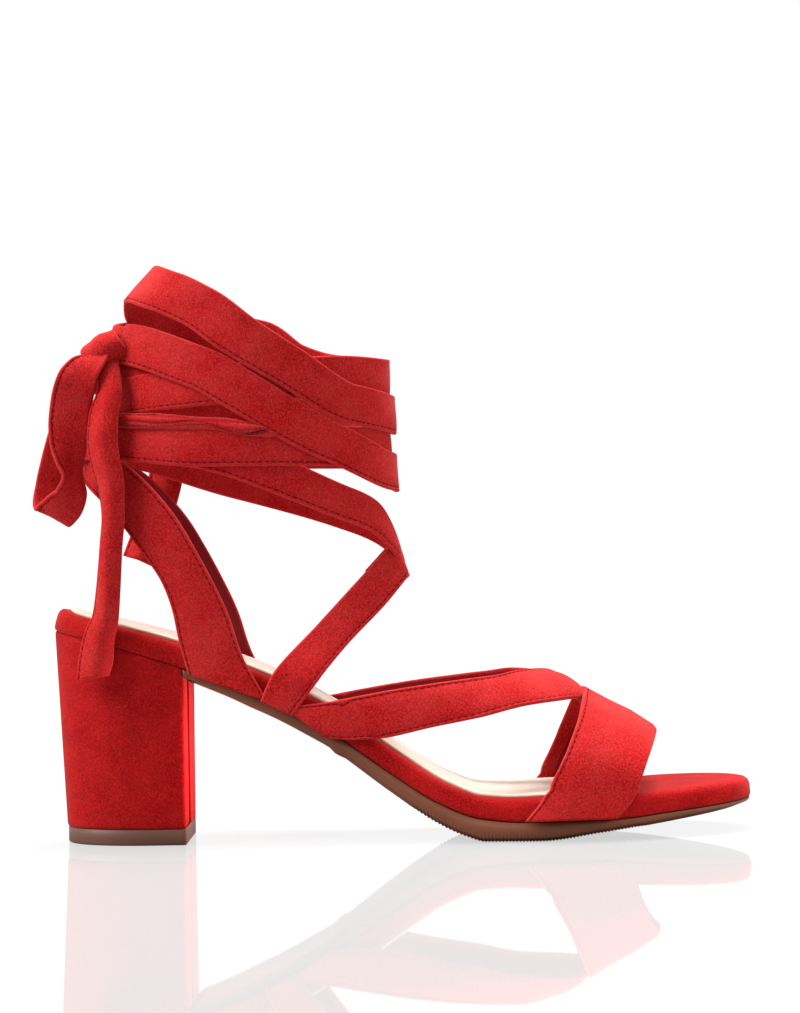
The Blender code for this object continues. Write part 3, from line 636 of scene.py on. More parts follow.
def crumple(base, long, wide, deep, seed):
    """Soft creases in a strip: noise stretched across it, raised along its normals."""
    normals = surface_normals(base, False)
    run = np.concatenate([[0.0], np.cumsum(np.linalg.norm(np.diff(base.mean(1), axis=0), axis=1))])
    lift = np.zeros(base.shape[:2])
    for i in range(base.shape[0]):
        for j in range(base.shape[1]):
            side = j / (base.shape[1] - 1) * TIE_WIDE
            lift[i, j] = noise.noise(Vector(((run[i] + CREASE_SLANT * side) / long, side / wide, seed)))
    return base + normals * (deep * lift)[..., None]


# Materials

RED = (0.50, 0.008, 0.009, 1.0)
RED_SHADE = (0.11, 0.002, 0.003, 1.0)
RED_BLOOM = (0.74, 0.075, 0.070, 1.0)
COVER_RED, COVER_SHADE = (0.36, 0.002, 0.003, 1.0), (0.08, 0.001, 0.001, 1.0)
COVER_BLOOM = (0.80, 0.025, 0.024, 1.0)
LINING_RED = (0.20, 0.005, 0.010, 1.0)
LINING_SHADE = (0.10, 0.003, 0.005, 1.0)
LINING_BLOOM = (0.28, 0.012, 0.018, 1.0)
# The thread's own dark red, darkened further with painted shade for stitches sunk in their holes
THREAD_RED_AND_HOLE_SHADE = (0.13, 0.001, 0.002, 1.0)
SHEEN_RED = (1.0, 0.38, 0.34, 1.0)
TAN, TAN_CLOUD = (0.20, 0.062, 0.028, 1.0), (0.13, 0.036, 0.016, 1.0)
BEIGE, BEIGE_CLOUD = (0.125, 0.05, 0.03, 1.0), (0.11, 0.045, 0.028, 1.0)
CREAM, CREAM_CLOUD = (0.76, 0.56, 0.44, 1.0), (0.70, 0.48, 0.37, 1.0)

# Noises: features in a metre, detail, roughness
FIBRE, PILE, PATCH = (2400.0, 2.0, 0.7), (1700.0, 2.0, 0.55), (75.0, 2.0, 0.55)
CLOUD, FINE, SCUFF = (55.0, 3.0, 0.6), (1800.0, 2.0, 0.6), (260.0, 4.0, 0.7)
SCUFF_STRETCH = (0.3, 1.0, 2.5)
FIBRE_SHARE = 0.4
GRAIN_DARK, GRAIN_EVEN, GRAIN_LIGHT = 0.32, 0.52, 0.72
PATCH_RANGE, CLOUD_RANGE = (0.35, 0.65), (0.35, 0.7)
LIGHT_SHARE, PATCH_SHARE, PAINTED_SEAM_SHADE_SHARE, RIM_SHARE, CLOUD_SHARE = 0.45, 0.16, 0.3, 0.22, 0.5
NAP_ROUGH, GRAIN_ROUGH = 0.78, 0.2
MOULD_ROUGH, SCUFF_ROUGH = 0.32, 0.3

# Looks: bump strength and depth, then the shader's own values
SUEDE_BUMP, COVER_BUMP, LINING_BUMP, THREAD_BUMP = (0.9, 0.3), (0.8, 0.25), (0.2, 0.1), (0.3, 0.1)
RUBBER_BUMP, SOCK_BUMP = (0.25, 0.08), (0.15, 0.06)
SUEDE_SHINE = {
    "Specular IOR Level": 0.12,
    "Sheen Weight": 0.2,
    "Sheen Roughness": 0.35,
    "Sheen Tint": SHEEN_RED,
}
COVER_SHINE = SUEDE_SHINE | {"Sheen Weight": 0.17}
DULL_SHINE, THREAD_SHINE = {"Specular IOR Level": 0.3}, {"Specular IOR Level": 0.1}
SOCK_SHINE = {"Coat Weight": 0.2, "Coat Roughness": 0.25}


def new_group(name, inputs, outputs):
    group = bpy.data.node_groups.new(name, "ShaderNodeTree")
    for label, kind, value in inputs:
        socket = group.interface.new_socket(name=label, in_out="INPUT", socket_type=kind)
        socket.default_value = value
    for label, kind in outputs:
        group.interface.new_socket(name=label, in_out="OUTPUT", socket_type=kind)
    source = group.nodes.new("NodeGroupInput")
    sink = group.nodes.new("NodeGroupOutput")
    return group, source.outputs, sink.inputs


def add_node(tree, kind, output, inputs):
    """A node with its inputs set or linked. Gives the socket of its output."""
    node = tree.nodes.new(kind)
    for label, value in inputs.items():
        if isinstance(value, bpy.types.NodeSocket):
            tree.links.new(value, node.inputs[label])
        else:
            node.inputs[label].default_value = value
    return node.outputs[output]


def noise_node(tree, scale, detail, rough, stretch=(1.0, 1.0, 1.0)):
    """Noise on object coordinates, with features of about one over the scale in metres."""
    spot = add_node(tree, "ShaderNodeTexCoord", "Object", {})
    place = add_node(tree, "ShaderNodeMapping", "Vector", {"Vector": spot, "Scale": stretch})
    values = {"Vector": place, "Scale": scale, "Detail": detail, "Roughness": rough}
    return add_node(tree, "ShaderNodeTexNoise", "Fac", values)


def math_node(tree, operation, first, second, clamp=False):
    node = tree.nodes.new("ShaderNodeMath")
    node.operation = operation
    node.use_clamp = clamp
    for socket, value in zip(node.inputs, (first, second)):
        if isinstance(value, (int, float)):
            socket.default_value = value
        else:
            tree.links.new(value, socket)
    return node.outputs["Value"]


def mix_colors(tree, share, first, second, blend_type="MIX"):
    node = tree.nodes.new("ShaderNodeMix")
    node.data_type = "RGBA"
    node.blend_type = blend_type
    colors = [socket for socket in node.inputs if socket.type == "RGBA"]
    shares = [socket for socket in node.inputs if socket.name == "Factor" and socket.type == "VALUE"]
    for socket, value in ((shares[0], share), (colors[0], first), (colors[1], second)):
        if isinstance(value, (int, float, tuple)):
            socket.default_value = value
        else:
            tree.links.new(value, socket)
    return [socket for socket in node.outputs if socket.type == "RGBA"][0]


def ramp_node(tree, value, low, high):
    values = {"Value": value, "From Min": low, "From Max": high}
    return add_node(tree, "ShaderNodeMapRange", "Result", values)


def make_nap_group():
    """Brushed suede: fine grain, soft patches where the nap lies over, painted shade in grooves and seams,
    and worn edges.
    """
    group, given, wanted = new_group(
        "suede_nap",
        [
            ("Color", "NodeSocketColor", RED),
            ("Shade", "NodeSocketColor", RED_SHADE),
            ("Bloom", "NodeSocketColor", RED_BLOOM),
            ("Grain", "NodeSocketFloat", 1.0),
        ],
        [("Color", "NodeSocketColor"), ("Roughness", "NodeSocketFloat"), ("Height", "NodeSocketFloat")],
    )
    fibre = math_node(group, "MULTIPLY", noise_node(group, *FIBRE), FIBRE_SHARE)
    pile = math_node(group, "MULTIPLY", noise_node(group, *PILE), 1 - FIBRE_SHARE)
    grain = math_node(group, "ADD", fibre, pile)
    dark = ramp_node(group, grain, GRAIN_EVEN, GRAIN_DARK)
    light = ramp_node(group, grain, GRAIN_EVEN, GRAIN_LIGHT)
    tone = ramp_node(group, noise_node(group, *PATCH), *PATCH_RANGE)
    darkness = math_node(group, "MULTIPLY", dark, given["Grain"], clamp=True)
    color = mix_colors(group, darkness, given["Color"], given["Shade"])
    lightness = math_node(group, "MULTIPLY", light, given["Grain"], clamp=True)
    color = mix_colors(group, math_node(group, "MULTIPLY", lightness, LIGHT_SHARE), color, given["Bloom"])
    brushed = mix_colors(group, math_node(group, "MULTIPLY", tone, PATCH_SHARE), color, given["Bloom"])
    shade_and_wear_node = group.nodes.new("ShaderNodeAttribute")
    shade_and_wear_node.attribute_name = "painted_shade_and_wear"
    parts = group.nodes.new("ShaderNodeSeparateColor")
    group.links.new(shade_and_wear_node.outputs["Color"], parts.inputs["Color"])
    # Red paints shade into the stitch grooves and down the heel's lapped seam; green lightens worn edges
    seam = math_node(group, "MULTIPLY", parts.outputs["Red"], PAINTED_SEAM_SHADE_SHARE)
    seam_shaded = mix_colors(group, seam, brushed, given["Shade"])
    rim = math_node(group, "MULTIPLY", parts.outputs["Green"], RIM_SHARE)
    group.links.new(mix_colors(group, rim, seam_shaded, given["Bloom"]), wanted["Color"])
    rough = math_node(group, "ADD", math_node(group, "MULTIPLY", grain, GRAIN_ROUGH), NAP_ROUGH, clamp=True)
    group.links.new(rough, wanted["Roughness"])
    group.links.new(grain, wanted["Height"])
    return group


def make_mould_group():
    """Moulded rubber: faint clouding, fine texture and scuffs."""
    group, given, wanted = new_group(
        "moulded_rubber",
        [("Color", "NodeSocketColor", TAN), ("Cloud", "NodeSocketColor", TAN_CLOUD)],
        [("Color", "NodeSocketColor"), ("Roughness", "NodeSocketFloat"), ("Height", "NodeSocketFloat")],
    )
    cloud = ramp_node(group, noise_node(group, *CLOUD), *CLOUD_RANGE)
    share = math_node(group, "MULTIPLY", cloud, CLOUD_SHARE)
    group.links.new(mix_colors(group, share, given["Color"], given["Cloud"]), wanted["Color"])
    scuff = math_node(group, "MULTIPLY", noise_node(group, *SCUFF, SCUFF_STRETCH), SCUFF_ROUGH)
    group.links.new(math_node(group, "ADD", scuff, MOULD_ROUGH), wanted["Roughness"])
    group.links.new(noise_node(group, *FINE), wanted["Height"])
    return group


def new_material(name, group, colors, bump, shine):
    """A principled material fed by a surface group."""
    material = bpy.data.materials.new(name)
    material.use_nodes = True
    tree = material.node_tree
    shader = tree.nodes["Principled BSDF"]
    for label, value in shine.items():
        shader.inputs[label].default_value = value
    node = tree.nodes.new("ShaderNodeGroup")
    node.node_tree = group
    for label, value in colors.items():
        node.inputs[label].default_value = value
    tree.links.new(node.outputs["Color"], shader.inputs["Base Color"])
    tree.links.new(node.outputs["Roughness"], shader.inputs["Roughness"])
    strength, depth = bump
    values = {"Strength": strength, "Distance": depth * MM, "Height": node.outputs["Height"]}
    tree.links.new(add_node(tree, "ShaderNodeBump", "Normal", values), shader.inputs["Normal"])
    return material


nap = make_nap_group()
mould = make_mould_group()
SUEDE_COLORS = {"Color": RED, "Shade": RED_SHADE, "Bloom": RED_BLOOM, "Grain": 0.95}
COVER_COLORS = {"Color": COVER_RED, "Shade": COVER_SHADE, "Bloom": COVER_BLOOM, "Grain": 1.0}
LINING_COLORS = {"Color": LINING_RED, "Shade": LINING_SHADE, "Bloom": LINING_BLOOM, "Grain": 0.3}
THREAD_COLORS = {"Color": THREAD_RED_AND_HOLE_SHADE, "Shade": RED_SHADE, "Bloom": RED, "Grain": 0.5}
TAN_COLORS = {"Color": TAN, "Cloud": TAN_CLOUD}
BEIGE_COLORS = {"Color": BEIGE, "Cloud": BEIGE_CLOUD}
CREAM_COLORS = {"Color": CREAM, "Cloud": CREAM_CLOUD}
suede = new_material("red_suede", nap, SUEDE_COLORS, SUEDE_BUMP, SUEDE_SHINE)
cover = new_material("red_suede_cover", nap, COVER_COLORS, COVER_BUMP, COVER_SHINE)
lining = new_material("red_lining", nap, LINING_COLORS, LINING_BUMP, DULL_SHINE)
thread = new_material("red_thread", nap, THREAD_COLORS, THREAD_BUMP, THREAD_SHINE)
rubber = new_material("tan_rubber", mould, TAN_COLORS, RUBBER_BUMP, DULL_SHINE)
heel_rubber = new_material("beige_rubber", mould, BEIGE_COLORS, RUBBER_BUMP, DULL_SHINE)
sock_cloth = new_material("cream_lining", mould, CREAM_COLORS, SOCK_BUMP, SOCK_SHINE)
TIE_FINISH = (suede, suede, thread)
STRAP = (STRAP_THICK, (suede, lining, thread), "upper", "strap_suede")


# Sole and heel


def make_platform():
    xs = -LENGTH / 2 * np.cos(np.linspace(0, math.pi, PLATFORM_STEPS))
    rings = []
    for inset, share in PLATFORM_PROFILE:
        plan, pairs = plan_loop(xs, inset, True, True)
        rings.append(over_feather(plan, share * smooth(PLATFORM_THICK, 1, plan[:, 0])))
    bm = lay_grid(close_rings(rings, pairs))
    finish_piece("platform_cover", bm, [cover], "platform")


def make_sock():
    turn = np.linspace(0, math.pi, SOCK_STEPS)
    xs = (BACK + SOCK_FRONT) / 2 - (SOCK_FRONT - BACK) / 2 * np.cos(turn)
    end = np.clip((xs - SOCK_FRONT + SOCK_ROUND) / SOCK_ROUND, 0, 1)
    narrow = (1 - end**SOCK_POWER) ** (1 / SOCK_POWER)
    rings = []
    for inset, rise in SOCK_PROFILE:
        plan, pairs = plan_loop(xs, inset, True, True, narrow)
        rings.append(over_feather(plan, rise + smooth(PLATFORM_THICK, 1, plan[:, 0])))
    bm = lay_grid(close_rings(rings, pairs))
    finish_piece("sock_lining", bm, [sock_cloth], "sock")


def outsole_under(x):
    """Height of the outsole's underside at x: the shank, a ramp, then the tread line."""
    z, _, rise = feather(x)
    shank = z - smooth(SHANK_THICK, 1, x) / rise
    ramp = np.clip((x - STEP_BACK) / (STEP_FRONT - STEP_BACK), 0, 1)
    return np.where(x < STEP_FRONT, shank + ramp * (TREAD_LINE[0][1] - shank), smooth(TREAD_LINE, 1, x))


def rib_cut(x):
    """Depth of the tread's cross grooves at x."""
    wave = 0.5 - 0.5 * np.cos(2 * math.pi * (x - RIB_BACK) / RIB_PITCH)
    inside = np.clip(np.minimum(x - RIB_BACK, RIB_FRONT - x) / RIB_FADE, 0, 1)
    return RIB_DEEP * wave * inside


def make_outsole():
    shank = np.linspace(OUTSOLE_BACK, STEP_BACK, SHANK_STEPS)
    step = np.linspace(STEP_BACK, RIB_BACK, RAMP_STEPS)[1:-1]
    ribs = np.arange(RIB_BACK, RIB_FRONT, RIB_PITCH / RIB_STATIONS)
    toe = RIB_FRONT + (FRONT - RIB_FRONT) * np.sin(np.linspace(0, math.pi / 2, TOE_STEPS))
    xs = np.concatenate([shank, step, ribs, toe])
    edge, pairs = plan_loop(xs, OUTSOLE_INSET, False, True)
    round_off, _ = plan_loop(xs, OUTSOLE_INSET + EDGE_ROUND, False, True)
    tread, _ = plan_loop(xs, TREAD_INSET, False, True)
    station = xs[np.concatenate([np.arange(len(xs)), pairs[:-1, 0][::-1]])]
    cut = rib_cut(station)
    edge_z, tread_z = outsole_under(edge[:, 0]), outsole_under(tread[:, 0])
    lift = np.where(edge[:, 0] < STEP_FRONT, SHANK_LIFT, EDGE_LIFT)
    upper = over_feather(edge, -GAP)
    low = np.minimum(edge_z + lift, upper[:, 2] - EDGE_LEAST)
    lower = np.column_stack([edge, low + EDGE_ROUND])
    rounded = np.column_stack([round_off, low + cut])
    under = np.column_stack([tread, np.maximum(tread_z, 0.0) + cut])
    middle = (lower + upper) / 2
    bm = lay_grid(close_rings([under, rounded, lower, middle, upper], pairs))
    finish_piece("outsole_tread", bm, [rubber], "outsole")


def heel_loop(inset, share):
    """Plan of the heel a share of the way down, from the breast's middle round the lateral side and back."""
    side = BREAST + (BACK + inset - BREAST) * np.sin(np.linspace(0, math.pi / 2, HEEL_STEPS))
    half = half_width(np.clip(side - inset * (side - BREAST) / (BACK - BREAST), BACK, FRONT)) - inset
    corner = half[0] - BREAST_ROUND
    turn = np.linspace(0, math.pi / 2, CORNER_STEPS)[:-1]
    in_breast = np.concatenate([[0.0], np.linspace(SEAM_EDGE, corner, BREAST_STEPS)[:-1]])
    seam = np.clip(1 - in_breast / SEAM_WIDE, 0, 1)
    round_x = BREAST - BREAST_ROUND * (1 - np.cos(turn))
    behind = side < BREAST - BREAST_ROUND
    x = np.concatenate([BREAST - SEAM_DEEP * seam, round_x, side[behind]])
    y = np.concatenate([in_breast, corner + BREAST_ROUND * np.sin(turn), half[behind]])
    narrow_x, narrow_y = 1 + share * (FOOT_SHARE_X - 1), 1 + share * (FOOT_SHARE_Y - 1)
    full = np.column_stack([x, -np.maximum(y, 0)])
    lateral = np.column_stack([BREAST + (x - BREAST) * narrow_x, -np.maximum(y, 0) * narrow_y])
    count = len(lateral)
    loop = np.vstack([lateral, lateral[1:-1][::-1] * (1, -1)])
    facing = np.arange(count)
    facing[1:-1] = np.arange(2 * count - 3, count - 1, -1)
    station = np.concatenate([full[:, 0], full[1:-1, 0][::-1]])
    return station, loop, np.column_stack([np.arange(count), facing])


def make_heel():
    foot_z = TOP_PIECE_TALL + SEAM_GAP
    rings = []
    sides = [(0.0, share) for share in np.linspace(*HEEL_SIDE)]
    for inset, share in (*HEEL_FOOT_EDGE, *sides, *HEEL_TOP_EDGE):
        station, plan, pairs = heel_loop(HEEL_INSET + inset, share)
        near = (plan[:, 1] < 0) & (station > BREAST - BREAST_ROUND)
        plan[near, 0] -= SEAM_LAP * (1 - plan[near, 1] / plan[:, 1].min())
        top = feather(station)[0] - SEAM_GAP
        rings.append(np.column_stack([plan, foot_z * share + top * (1 - share)]))
    # Painted shade: the rows of the lap's wall are darkened as if in shadow
    dark = (np.abs(plan[:, 1]) < SEAM_WIDE) & (plan[:, 1] >= 0) & (station > HEEL_ROUND)
    painted_shade_and_wear = np.append(dark, dark[0])[:, None, None] * np.array([SEAM_PAINTED_SHADE, 0.0])
    bm = lay_grid(close_rings(rings, pairs), painted_shade_and_wear)
    finish_piece("heel_cover", bm, [cover], "heel_block")
    rings = []
    for inset, z in TOP_PIECE_PROFILE:
        _, plan, pairs = heel_loop(HEEL_INSET + TOP_PIECE_INSET + inset, 1.0)
        in_seam = (np.abs(plan[:, 1]) < SEAM_WIDE * 2) & (plan[:, 0] > HEEL_ROUND)
        plan[in_seam, 0] = plan[:, 0].max()
        rings.append(np.column_stack([plan, np.full(len(plan), z)]))
    bm = lay_grid(close_rings(rings, pairs))
    finish_piece("heel_wear_piece", bm, [heel_rubber], "heel_top_piece")


# Straps


def foot(x, q, lift):
    """A point on the foot's forepart.

    q is -1 to 0 up the lateral wall, 1 on the crest and 2 to 3 down the medial wall.
    """
    z_feather, _, rise = feather(x)
    foot_z = z_feather + WALL_FOOT
    spring = z_feather + SPRING * smooth(PLATFORM_THICK, 1, x) / rise
    side = half_width(x) + SIDE_GAP + lift
    turn = np.clip(q, 0, 2) * math.pi / 2
    out = np.sign(np.cos(turn)) * np.abs(np.cos(turn)) ** DOME_POWER
    up = np.abs(np.sin(turn)) ** DOME_POWER
    wall = np.clip(-q, 0, 1) + np.clip(q - 2, 0, 1)
    y = centre(x) - side * out + RIDGE * np.sin(turn) ** 2
    z = spring + (smooth(CREST_LINE, 1, x) + lift - spring) * up - wall * (spring - foot_z)
    return np.stack([x, y, z], axis=-1)


def foot_share(x, z):
    """The q of a height on the lateral half of the foot."""
    z_feather, _, rise = feather(x)
    spring = z_feather + SPRING * smooth(PLATFORM_THICK, 1, x) / rise
    wall = (z - spring) / (spring - z_feather - WALL_FOOT)
    up = np.clip((z - spring) / (smooth(CREST_LINE, 1, x) - spring), 0, 1)
    return np.where(z < spring, np.clip(wall, -1, 0), np.arcsin(up ** (1 / DOME_POWER)) / (math.pi / 2))


def make_toe_band():
    wall = np.linspace(BAND_FOOT, 0, WALL_STEPS)[:-1]
    q = np.concatenate([wall, np.linspace(0, 2, BAND_STEPS), 2 - wall[::-1]])[:, None]
    edges = []
    for column, twist in enumerate(BAND_TWIST, 1):
        foot_x, crest_x = BAND[0][column], BAND[-1][column]
        x = smooth(BAND, column, np.minimum(q, 2 - q))
        ahead = np.where(q > 1, twist * (crest_x - x) / (crest_x - foot_x), 0.0)
        edges.append(x + ahead)
    share = np.linspace(0, 1, BAND_COLUMNS)[None, :]
    x = edges[0] + (edges[1] - edges[0]) * share
    turned = np.clip((share - DROOP_FROM) / (1 - DROOP_FROM), 0, 1) ** 2
    droop = turned * np.sin(np.clip(q, 0, 2) * math.pi / 2) ** 2
    base = foot(x, np.broadcast_to(q, x.shape), -BAND_DROOP * droop)[:, ::-1]
    strip("toe_band", base, *STRAP, LAST_EDGE)


def make_instep_strap(medial):
    rows = blend(INSTEP_STRAP, INSTEP_STEPS)
    share = np.linspace(0, 1, STRAP_COLUMNS)[None, :]
    x = rows[:, 0:1] + (rows[:, 2:3] - rows[:, 0:1]) * share
    q_upper, q_lower = foot_share(rows[:, 0], rows[:, 1]), foot_share(rows[:, 2], rows[:, 3])
    q_upper = np.where(q_upper > 0, CREST_LAP * q_upper, q_upper)
    q = q_upper[:, None] + (q_lower - q_upper)[:, None] * share
    tucked = np.clip((x - TUCK_FROM) / TUCK_LONG, 0, 1)
    under = tucked * tucked * (3 - 2 * tucked) * (MEDIAL_UNDER if medial else LATERAL_UNDER)
    base = foot(x, 2 - q if medial else q, -under)
    name = "instep_strap_medial" if medial else "instep_strap_lateral"
    strip(name, base if medial else base[:, ::-1], *STRAP)


def fold_over(base):
    """The strap's top turned over inward, round the tie that it holds, and laid back down inside."""
    end = base[-1]
    along = unit(base[-1] - base[-2])
    out = surface_normals(base, False)[-1]
    hub = end - FOLD_ROUND * out
    rows = []
    for angle in np.radians(np.linspace(FOLD_START, 180, FOLD_STEPS)):
        rows.append(hub + FOLD_ROUND * (out * math.cos(angle) + along * math.sin(angle)))
    for back in np.linspace(1, FOLD_BACK, FOLD_BACK_STEPS):
        rows.append(hub - FOLD_ROUND * out - back * along)
    return np.concatenate([base, np.stack(rows)])


def make_loop_strap(medial):
    rows = blend(LOOP_STRAP, LOOP_STEPS)
    share = np.linspace(0, 1, STRAP_COLUMNS)[None, :]
    x = rows[:, 0:1] + (rows[:, 2:3] - rows[:, 0:1]) * share
    z = rows[:, 1:2] + (rows[:, 3:4] - rows[:, 1:2]) * share
    outward = 1 - rows[:, 4:5]
    out = (half_width(x) + SIDE_GAP + LOOP_OVER) * outward
    middle = centre(x) * outward
    grid = np.stack([x, middle + (out if medial else -out), z], axis=-1)
    base = fold_over(grid if medial else grid[:, ::-1])
    name = "loop_strap_medial" if medial else "loop_strap_lateral"
    stitched = LAST_EDGE if medial else FIRST_EDGE
    strip(name, base, *STRAP, stitched)


def ankle(angle, z, lift):
    """A point on the heel and ankle, at radians round from the back by the lateral side."""
    back, front, half = (smooth(ANKLE, column, z) for column in (1, 2, 3))
    x = (back + front) / 2 - ((front - back) / 2 + lift) * np.cos(angle)
    return np.stack([x, -(half + lift) * np.sin(angle), z + 0 * angle], axis=-1)


def ankle_angle(x, z):
    back, front = smooth(ANKLE, 1, z), smooth(ANKLE, 2, z)
    return np.arccos(np.clip(((back + front) / 2 - x) / ((front - back) / 2), -1, 1))


def make_heel_strap():
    table = np.asarray(HEEL_STRAP)
    front, rear = ankle_angle(table[:, 0], table[:, 1]), ankle_angle(table[:, 2], table[:, 3])
    half = np.column_stack([front, table[:, 1], rear, table[:, 3]])
    back = [[0.0, HEEL_STRAP_BACK[0], 0.0, HEEL_STRAP_BACK[1]]]
    rows = blend(np.vstack([half, back, half[::-1] * (-1, 1, -1, 1)]), HEEL_STRAP_STEPS)
    share = np.linspace(0, 1, TIE_COLUMNS)[None, :]
    angle = rows[:, 0:1] + (rows[:, 2:3] - rows[:, 0:1]) * share
    base = ankle(angle, rows[:, 1:2] + (rows[:, 3:4] - rows[:, 1:2]) * share, 0.0)
    x, y = base[:, :, 0], base[:, :, 1]
    short = np.clip(half_width(x) + SIDE_GAP + np.sign(y) * centre(x) - np.abs(y), 0, None)
    fade = np.clip((CLEAR_TOP - base[:, :, 2]) / CLEAR_FADE, 0, 1)
    base[:, :, 1] += np.sign(y) * short * fade**2 * (3 - 2 * fade)
    strip("heel_strap", base, *STRAP)


# Ties


def wound(turn, z, lift, wide, columns, lean=0.0):
    """A ribbon's inner face wound on the ankle: a grid whose upper edge comes last and leans in or out."""
    angle = np.radians(turn)
    path = ankle(angle, z, lift)
    run = np.linalg.norm(np.gradient(path[:, :2], axis=0), axis=1)
    climb = np.gradient(path[:, 2])
    long = np.hypot(run, climb)
    side = np.linspace(-0.5, 0.5, columns)[None, :] * wide[:, None]
    per_radian = run / np.gradient(angle)
    side_angle = angle[:, None] - side * (climb / long / per_radian)[:, None]
    stand = lift[:, None] - side / wide[:, None] * np.broadcast_to(lean, lift.shape)[:, None]
    upright = np.sqrt(1 - np.minimum(np.abs(lean) / wide, STEEPEST_LEAN) ** 2)
    return ankle(side_angle, z[:, None] + side * (run / long * upright)[:, None], stand)


def make_low_turn():
    turn = np.linspace(0, 360, LOW_TURN_STEPS)
    lift = np.full(len(turn), LOW_LIFT)
    base = wound(turn, smooth(LOW_TURN, 1, turn), lift, smooth(LOW_TURN, 2, turn), STRAP_COLUMNS)
    strip("low_tie_turn", base, STRAP_THICK, TIE_FINISH, "upper", "tie_suede", FIRST_EDGE, closed=True)


def make_ankle_tie():
    rows = [(lap * 360 + row[0], *row[1:]) for lap, table in enumerate(TURNS) for row in table]
    turn = np.linspace(rows[0][0], rows[-1][0], TIE_STEPS)
    z, layer, lean = (smooth(rows, column, turn) for column in (1, 2, 3))
    base = wound(turn, z, TIE_LIFT + LAYER * layer, np.full(len(turn), TIE_WIDE), TIE_COLUMNS, lean)
    base = crumple(base, *WRAP_CREASE, WRAP_SEED)
    strip("ankle_tie_wrap", base, TIE_THICK, TIE_FINISH, "ankle_tie", "tie_suede", FIRST_EDGE)
    for name, table, thick, layer, seed in (
        ("tucked_tie_strand", TUCKED_STRAND, TIE_THICK, 0.0, 1.4),
        ("rolled_tie_edge", ROLLED_EDGE, ROLLED_THICK, 1.2, 2.4),
    ):
        turn = np.linspace(table[0][0], table[-1][0], STRAND_STEPS)
        lift = np.full(len(turn), TIE_LIFT + LAYER * layer)
        base = wound(turn, smooth(table, 1, turn), lift, smooth(table, 2, turn), STRAP_COLUMNS)
        base = crumple(base, *STRAND_CREASE, seed)
        strip(name, base, thick, TIE_FINISH, "ankle_tie", "tie_suede", NO_EDGE, STRAND_CROWN)


def rooted(rows, roots):
    """A route with its hidden ends added, which run into the knot."""
    ends = [(*root, *row[3:6], ROOT_WIDE, row[7]) for root, row in zip(roots, (rows[0], rows[-1]))]
    return [ends[0], *rows, *ends[1:]]


def ribbon_base(rows, count, slant):
    """A ribbon's inner face along a table of its centre line, its width's direction and its fold.

    slant is how far its far end is cut off square, as a share of its width.
    """
    table = blend(rows, count)
    along = unit(np.gradient(table[:, :3], axis=0))
    wide = unit(table[:, 3:6])
    wide = unit(wide - along * (wide * along).sum(1, keepdims=True))
    face = np.cross(along, wide)
    width = table[:, 6:7]
    fold = np.radians(table[:, 7:8])
    side = np.linspace(-0.5, 0.5, RIBBON_COLUMNS)[None, :] * width
    ridge = width * RIDGE_SOFT
    back = np.sqrt((side - width * RIDGE_AT) ** 2 + ridge**2) - ridge
    middle = np.sin(fold) * width * FOLD_RISE
    flat = (side * np.cos(fold))[..., None] * wide[:, None, :]
    raised = (middle - back * np.sin(fold) - TIE_THICK / 2)[..., None] * face[:, None, :]
    last = np.clip((np.arange(count) / (count - 1) - SLANT_FROM) / (1 - SLANT_FROM), 0, 1)[:, None]
    cut = (-side * slant * last)[..., None] * along[:, None, :]
    return table[:, None, :3] + flat + raised + cut, table[:, :3]


def knot_base():
    """The knot's wrap: a ribbon closed round the knot, bulging in its middle and pleated all the way."""
    axis, up, hub = (np.asarray(v) for v in (KNOT_AXIS, KNOT_UP, KNOT_AT))
    turn = np.linspace(0, 2 * math.pi, KNOT_STEPS)[:, None, None]
    share = np.linspace(-0.5, 0.5, KNOT_COLUMNS)[None, :, None]
    bulge = 1 + KNOT_BULGE * np.sqrt(1 - (2 * share) ** 2)
    pleat = PLEAT_DEEP * np.cos(2 * math.pi * KNOT_PLEATS * share + PLEAT_SWAY * np.sin(turn))
    out = up * np.sin(turn) * (KNOT_TALL / 2 * bulge + pleat)
    front = np.array([0.0, -1.0, 0.0]) * np.cos(turn) * (KNOT_DEEP / 2 * bulge + pleat)
    return hub + axis * share * KNOT_WIDE + out + front


def make_bow():
    strip("bow_knot", knot_base(), TIE_THICK, TIE_FINISH, "tie_knot", "tie_suede", NO_EDGE, closed=True)
    core = bmesh.new()
    axes = [Vector(KNOT_UP) * KNOT_TALL, Vector((0, 1, 0)) * KNOT_DEEP, Vector(KNOT_AXIS) * KNOT_WIDE]
    add_ball(core, axes, Vector(KNOT_AT) + Vector(SHIFT), KNOT_CUTS)
    for face in core.faces:
        face.smooth = True
    finish_piece("bow_knot_core", core, [suede], "tie_knot")
    knot = ["bow_knot", "bow_knot_core"]
    for name, rows, roots, node, count, slant, seed, far_end, carried in (
        ("bow_loop", BOW_LOOP, LOOP_ROOTS, "tie_bow_loop", BOW_LOOP_STEPS, 0.0, 18.4, "object", knot),
        ("tie_tail_long", END_LONG, LONG_ROOT, "tie_end_long", TAIL_STEPS, TAIL_SLANT, 13.4, "bare", []),
        ("tie_tail_short", END_SHORT, SHORT_ROOT, "tie_end_short", TAIL_STEPS, 0.0, 7.4, "bare", []),
    ):
        base, path = ribbon_base(rooted(rows, roots), count, slant)
        base = crumple(base, *BOW_CREASE, seed)
        piece = strip(name, base, TIE_THICK, TIE_FINISH, node, "tie_suede", FIRST_EDGE)


# Camera, floor and light

PHOTO_WIDE, PHOTO_TALL = 800, 1013
FOCAL_PIXELS = 2987.0
CAMERA_AT = (0.0, -1.0035, 0.0908)
CAMERA_PITCH, CAMERA_ROLL = 1.084, -1.0
SENSOR = 36.0


